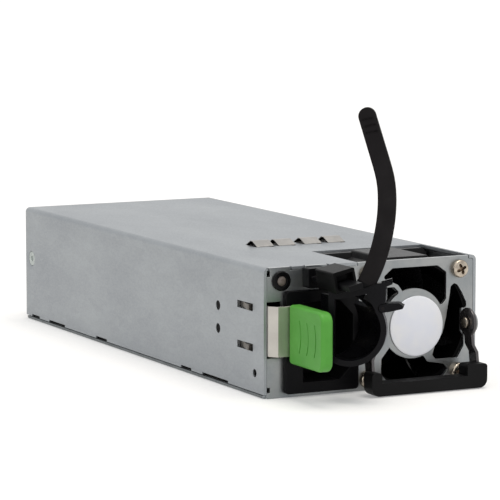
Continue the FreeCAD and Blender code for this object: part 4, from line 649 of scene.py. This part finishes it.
def makeFanWheel(look):
    # blade point: angle = a0 + lean s + wrap t, radius grows with s, y grows with t + camber sin(pi t); the two
    # sides stand off along the chord's normal by half a thickness, thinner towards both edges
    low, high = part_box("fan_rotor")
    y0, y1 = low.y / mm, high.y / mm
    hub, bore, wall, margin = look["hub"], look["bore"], look["wall"], look["margin"]
    profile = [(hub, y0 - y1)] + quarterTurn(hub, 0, look["rim"])
    profile += [(bore, 0), (bore, -wall), (hub - wall, -wall), (hub - wall, y0 - y1)]
    shells = [gridShell(latheGrid(profile, fanX, fanZ, y0), closeRows=True, capRows=False)]
    s = np.linspace(0, 1, look["rows"])[:, None]
    t = np.linspace(0, 1, look["steps"])
    t = np.concatenate([t, t[::-1]])[None]
    side = np.concatenate([np.ones(look["steps"]), -np.ones(look["steps"])])[None]
    radius = hub - look["sunk"] + (look["tip"] - hub + look["sunk"]) * s
    depth = y1 - y0 - 2 * margin
    wrap = math.radians(look["wrap"])
    stand = side * look["thick"] / 2 * (look["thinEdge"] + (1 - look["thinEdge"]) * np.sin(math.pi * t))
    length = np.hypot(radius * wrap, depth)
    for blade in range(look["blades"]):
        a0 = math.radians(look["start"]) + 2 * math.pi * blade / look["blades"]
        angle = a0 + math.radians(look["lean"]) * s + wrap * t + stand * depth / length / radius
        y = y0 + margin + depth * (t + look["camber"] * np.sin(math.pi * t)) - stand * radius * wrap / length
        y = np.clip(y, y0, y1)
        shells.append(gridShell(np.dstack([fanX + radius * np.cos(angle), y, fanZ + radius * np.sin(angle)])))
    addShape("fanWheel", shells, "fan_rotor")


makeFanWheel(fanWheel)

panScrew = {"radius": 2.8, "height": 2.1, "rim": 0.9, "rimSteps": 6, "dome": 0.35, "middle": 0.06, "rings": 26,
            "lobes": 4, "recess": 1.25, "lobe": 0.55, "slope": 0.3, "depth": 0.9, "turn": 20.0, "turnStep": 31,
            "recessShadeFrom": 0.05, "shank": 1.4, "steps": 96}


def makePanScrews(look):
    # head height: rounded rim, then a low dome; inside radius = recess + lobe cos 4a it sinks by s^2 (3 - 2s)
    low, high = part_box("fan_screws")
    reach, flat = look["radius"], look["radius"] - look["rim"]
    seat = low.y / mm + look["height"]
    profile = [(look["shank"], seat - high.y / mm), (look["shank"], 0.0), (reach, 0.0)]
    profile += quarterTurn(reach, look["height"] - look["dome"], look["rim"], look["rimSteps"])[:-1]
    firstDomed = len(profile)
    profile += [(r, look["height"] - look["dome"] * (r / flat) ** 2)
                for r in np.linspace(flat, look["middle"], look["rings"])]
    radius = np.array(profile)[:, :1]
    domed = np.arange(len(profile))[:, None] > firstDomed
    angle = np.linspace(0, 2 * math.pi, look["steps"], endpoint=False)
    places = [(x, z) for x in (low.x / mm + reach, high.x / mm - reach)
              for z in (low.z / mm + reach, high.z / mm - reach)]
    shells, marks = [], []
    for index, (x, z) in enumerate(places):
        turn = math.radians(look["turn"] + look["turnStep"] * index)
        edge = look["recess"] + look["lobe"] * np.cos(look["lobes"] * (angle - turn))
        sink = np.clip((edge[None] - radius) / look["slope"], 0, 1)
        sink = sink * sink * (3 - 2 * sink) * domed
        grid = latheGrid(profile, x, z, seat, look["steps"])
        grid[..., 1] += look["depth"] * sink
        shells.append(gridShell(grid))
        # faces sunk past a threshold take the dark brown that is painted shade of the recess
        marks.append(np.concatenate([(sink[:-1] > look["recessShadeFrom"]).reshape(-1), [0, 1]]))
    addShape("panScrews", shells, "fan_screws", ["nickelScrew", "recessPaintedShade"], marks)


makePanScrews(panScrew)

hubDisc = {"rim": 0.25, "dish": 0.12, "shift": (0.3, -0.35), "undercut": 0.1, "margin": 0.2, "middle": 0.4,
           "rings": 12, "steps": 96}


def makeHubDisc(look):
    # film over a low dome: profile height = t - dish (r/R)^2, with a rounded rim
    low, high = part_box("hub_label")
    reach, thick = (high.x - low.x) / 2 / mm, (high.y - low.y) / mm
    rings = np.linspace(reach - look["rim"] - look["margin"], look["middle"], look["rings"])
    profile = [(reach - look["undercut"], 0.0)] + quarterTurn(reach, thick - look["dish"], look["rim"])
    profile += [(r, thick - look["dish"] * (r / reach) ** 2) for r in rings]
    x, z = middleOf(low, high)
    grid = latheGrid(profile, x + look["shift"][0], z + look["shift"][1], high.y / mm, look["steps"])
    addShape("hubDisc", [gridShell(grid)], "hub_label")


makeHubDisc(hubDisc)

lightLens = {"dome": 0.7, "sweep": 1.5, "rings": 10, "steps": 40}


def makeLens(look):
    # clouded dome: (R cos a, h0 + (h - h0) sin a), with a from 0 to nearly a quarter turn
    low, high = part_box("light_lens")
    reach, thick = (high.x - low.x) / 2 / mm, (high.y - low.y) / mm
    dome = min(look["dome"], thick / 2)
    profile = [(reach, 0.0)] + [(reach * math.cos(a), thick - dome + dome * math.sin(a))
                                for a in np.linspace(0, look["sweep"], look["rings"])]
    grid = latheGrid(profile, *middleOf(low, high), high.y / mm, look["steps"])
    addShape("lightLens", [gridShell(grid)], "light_lens")


makeLens(lightLens)
print("fan wheel, screws, label and lens made")
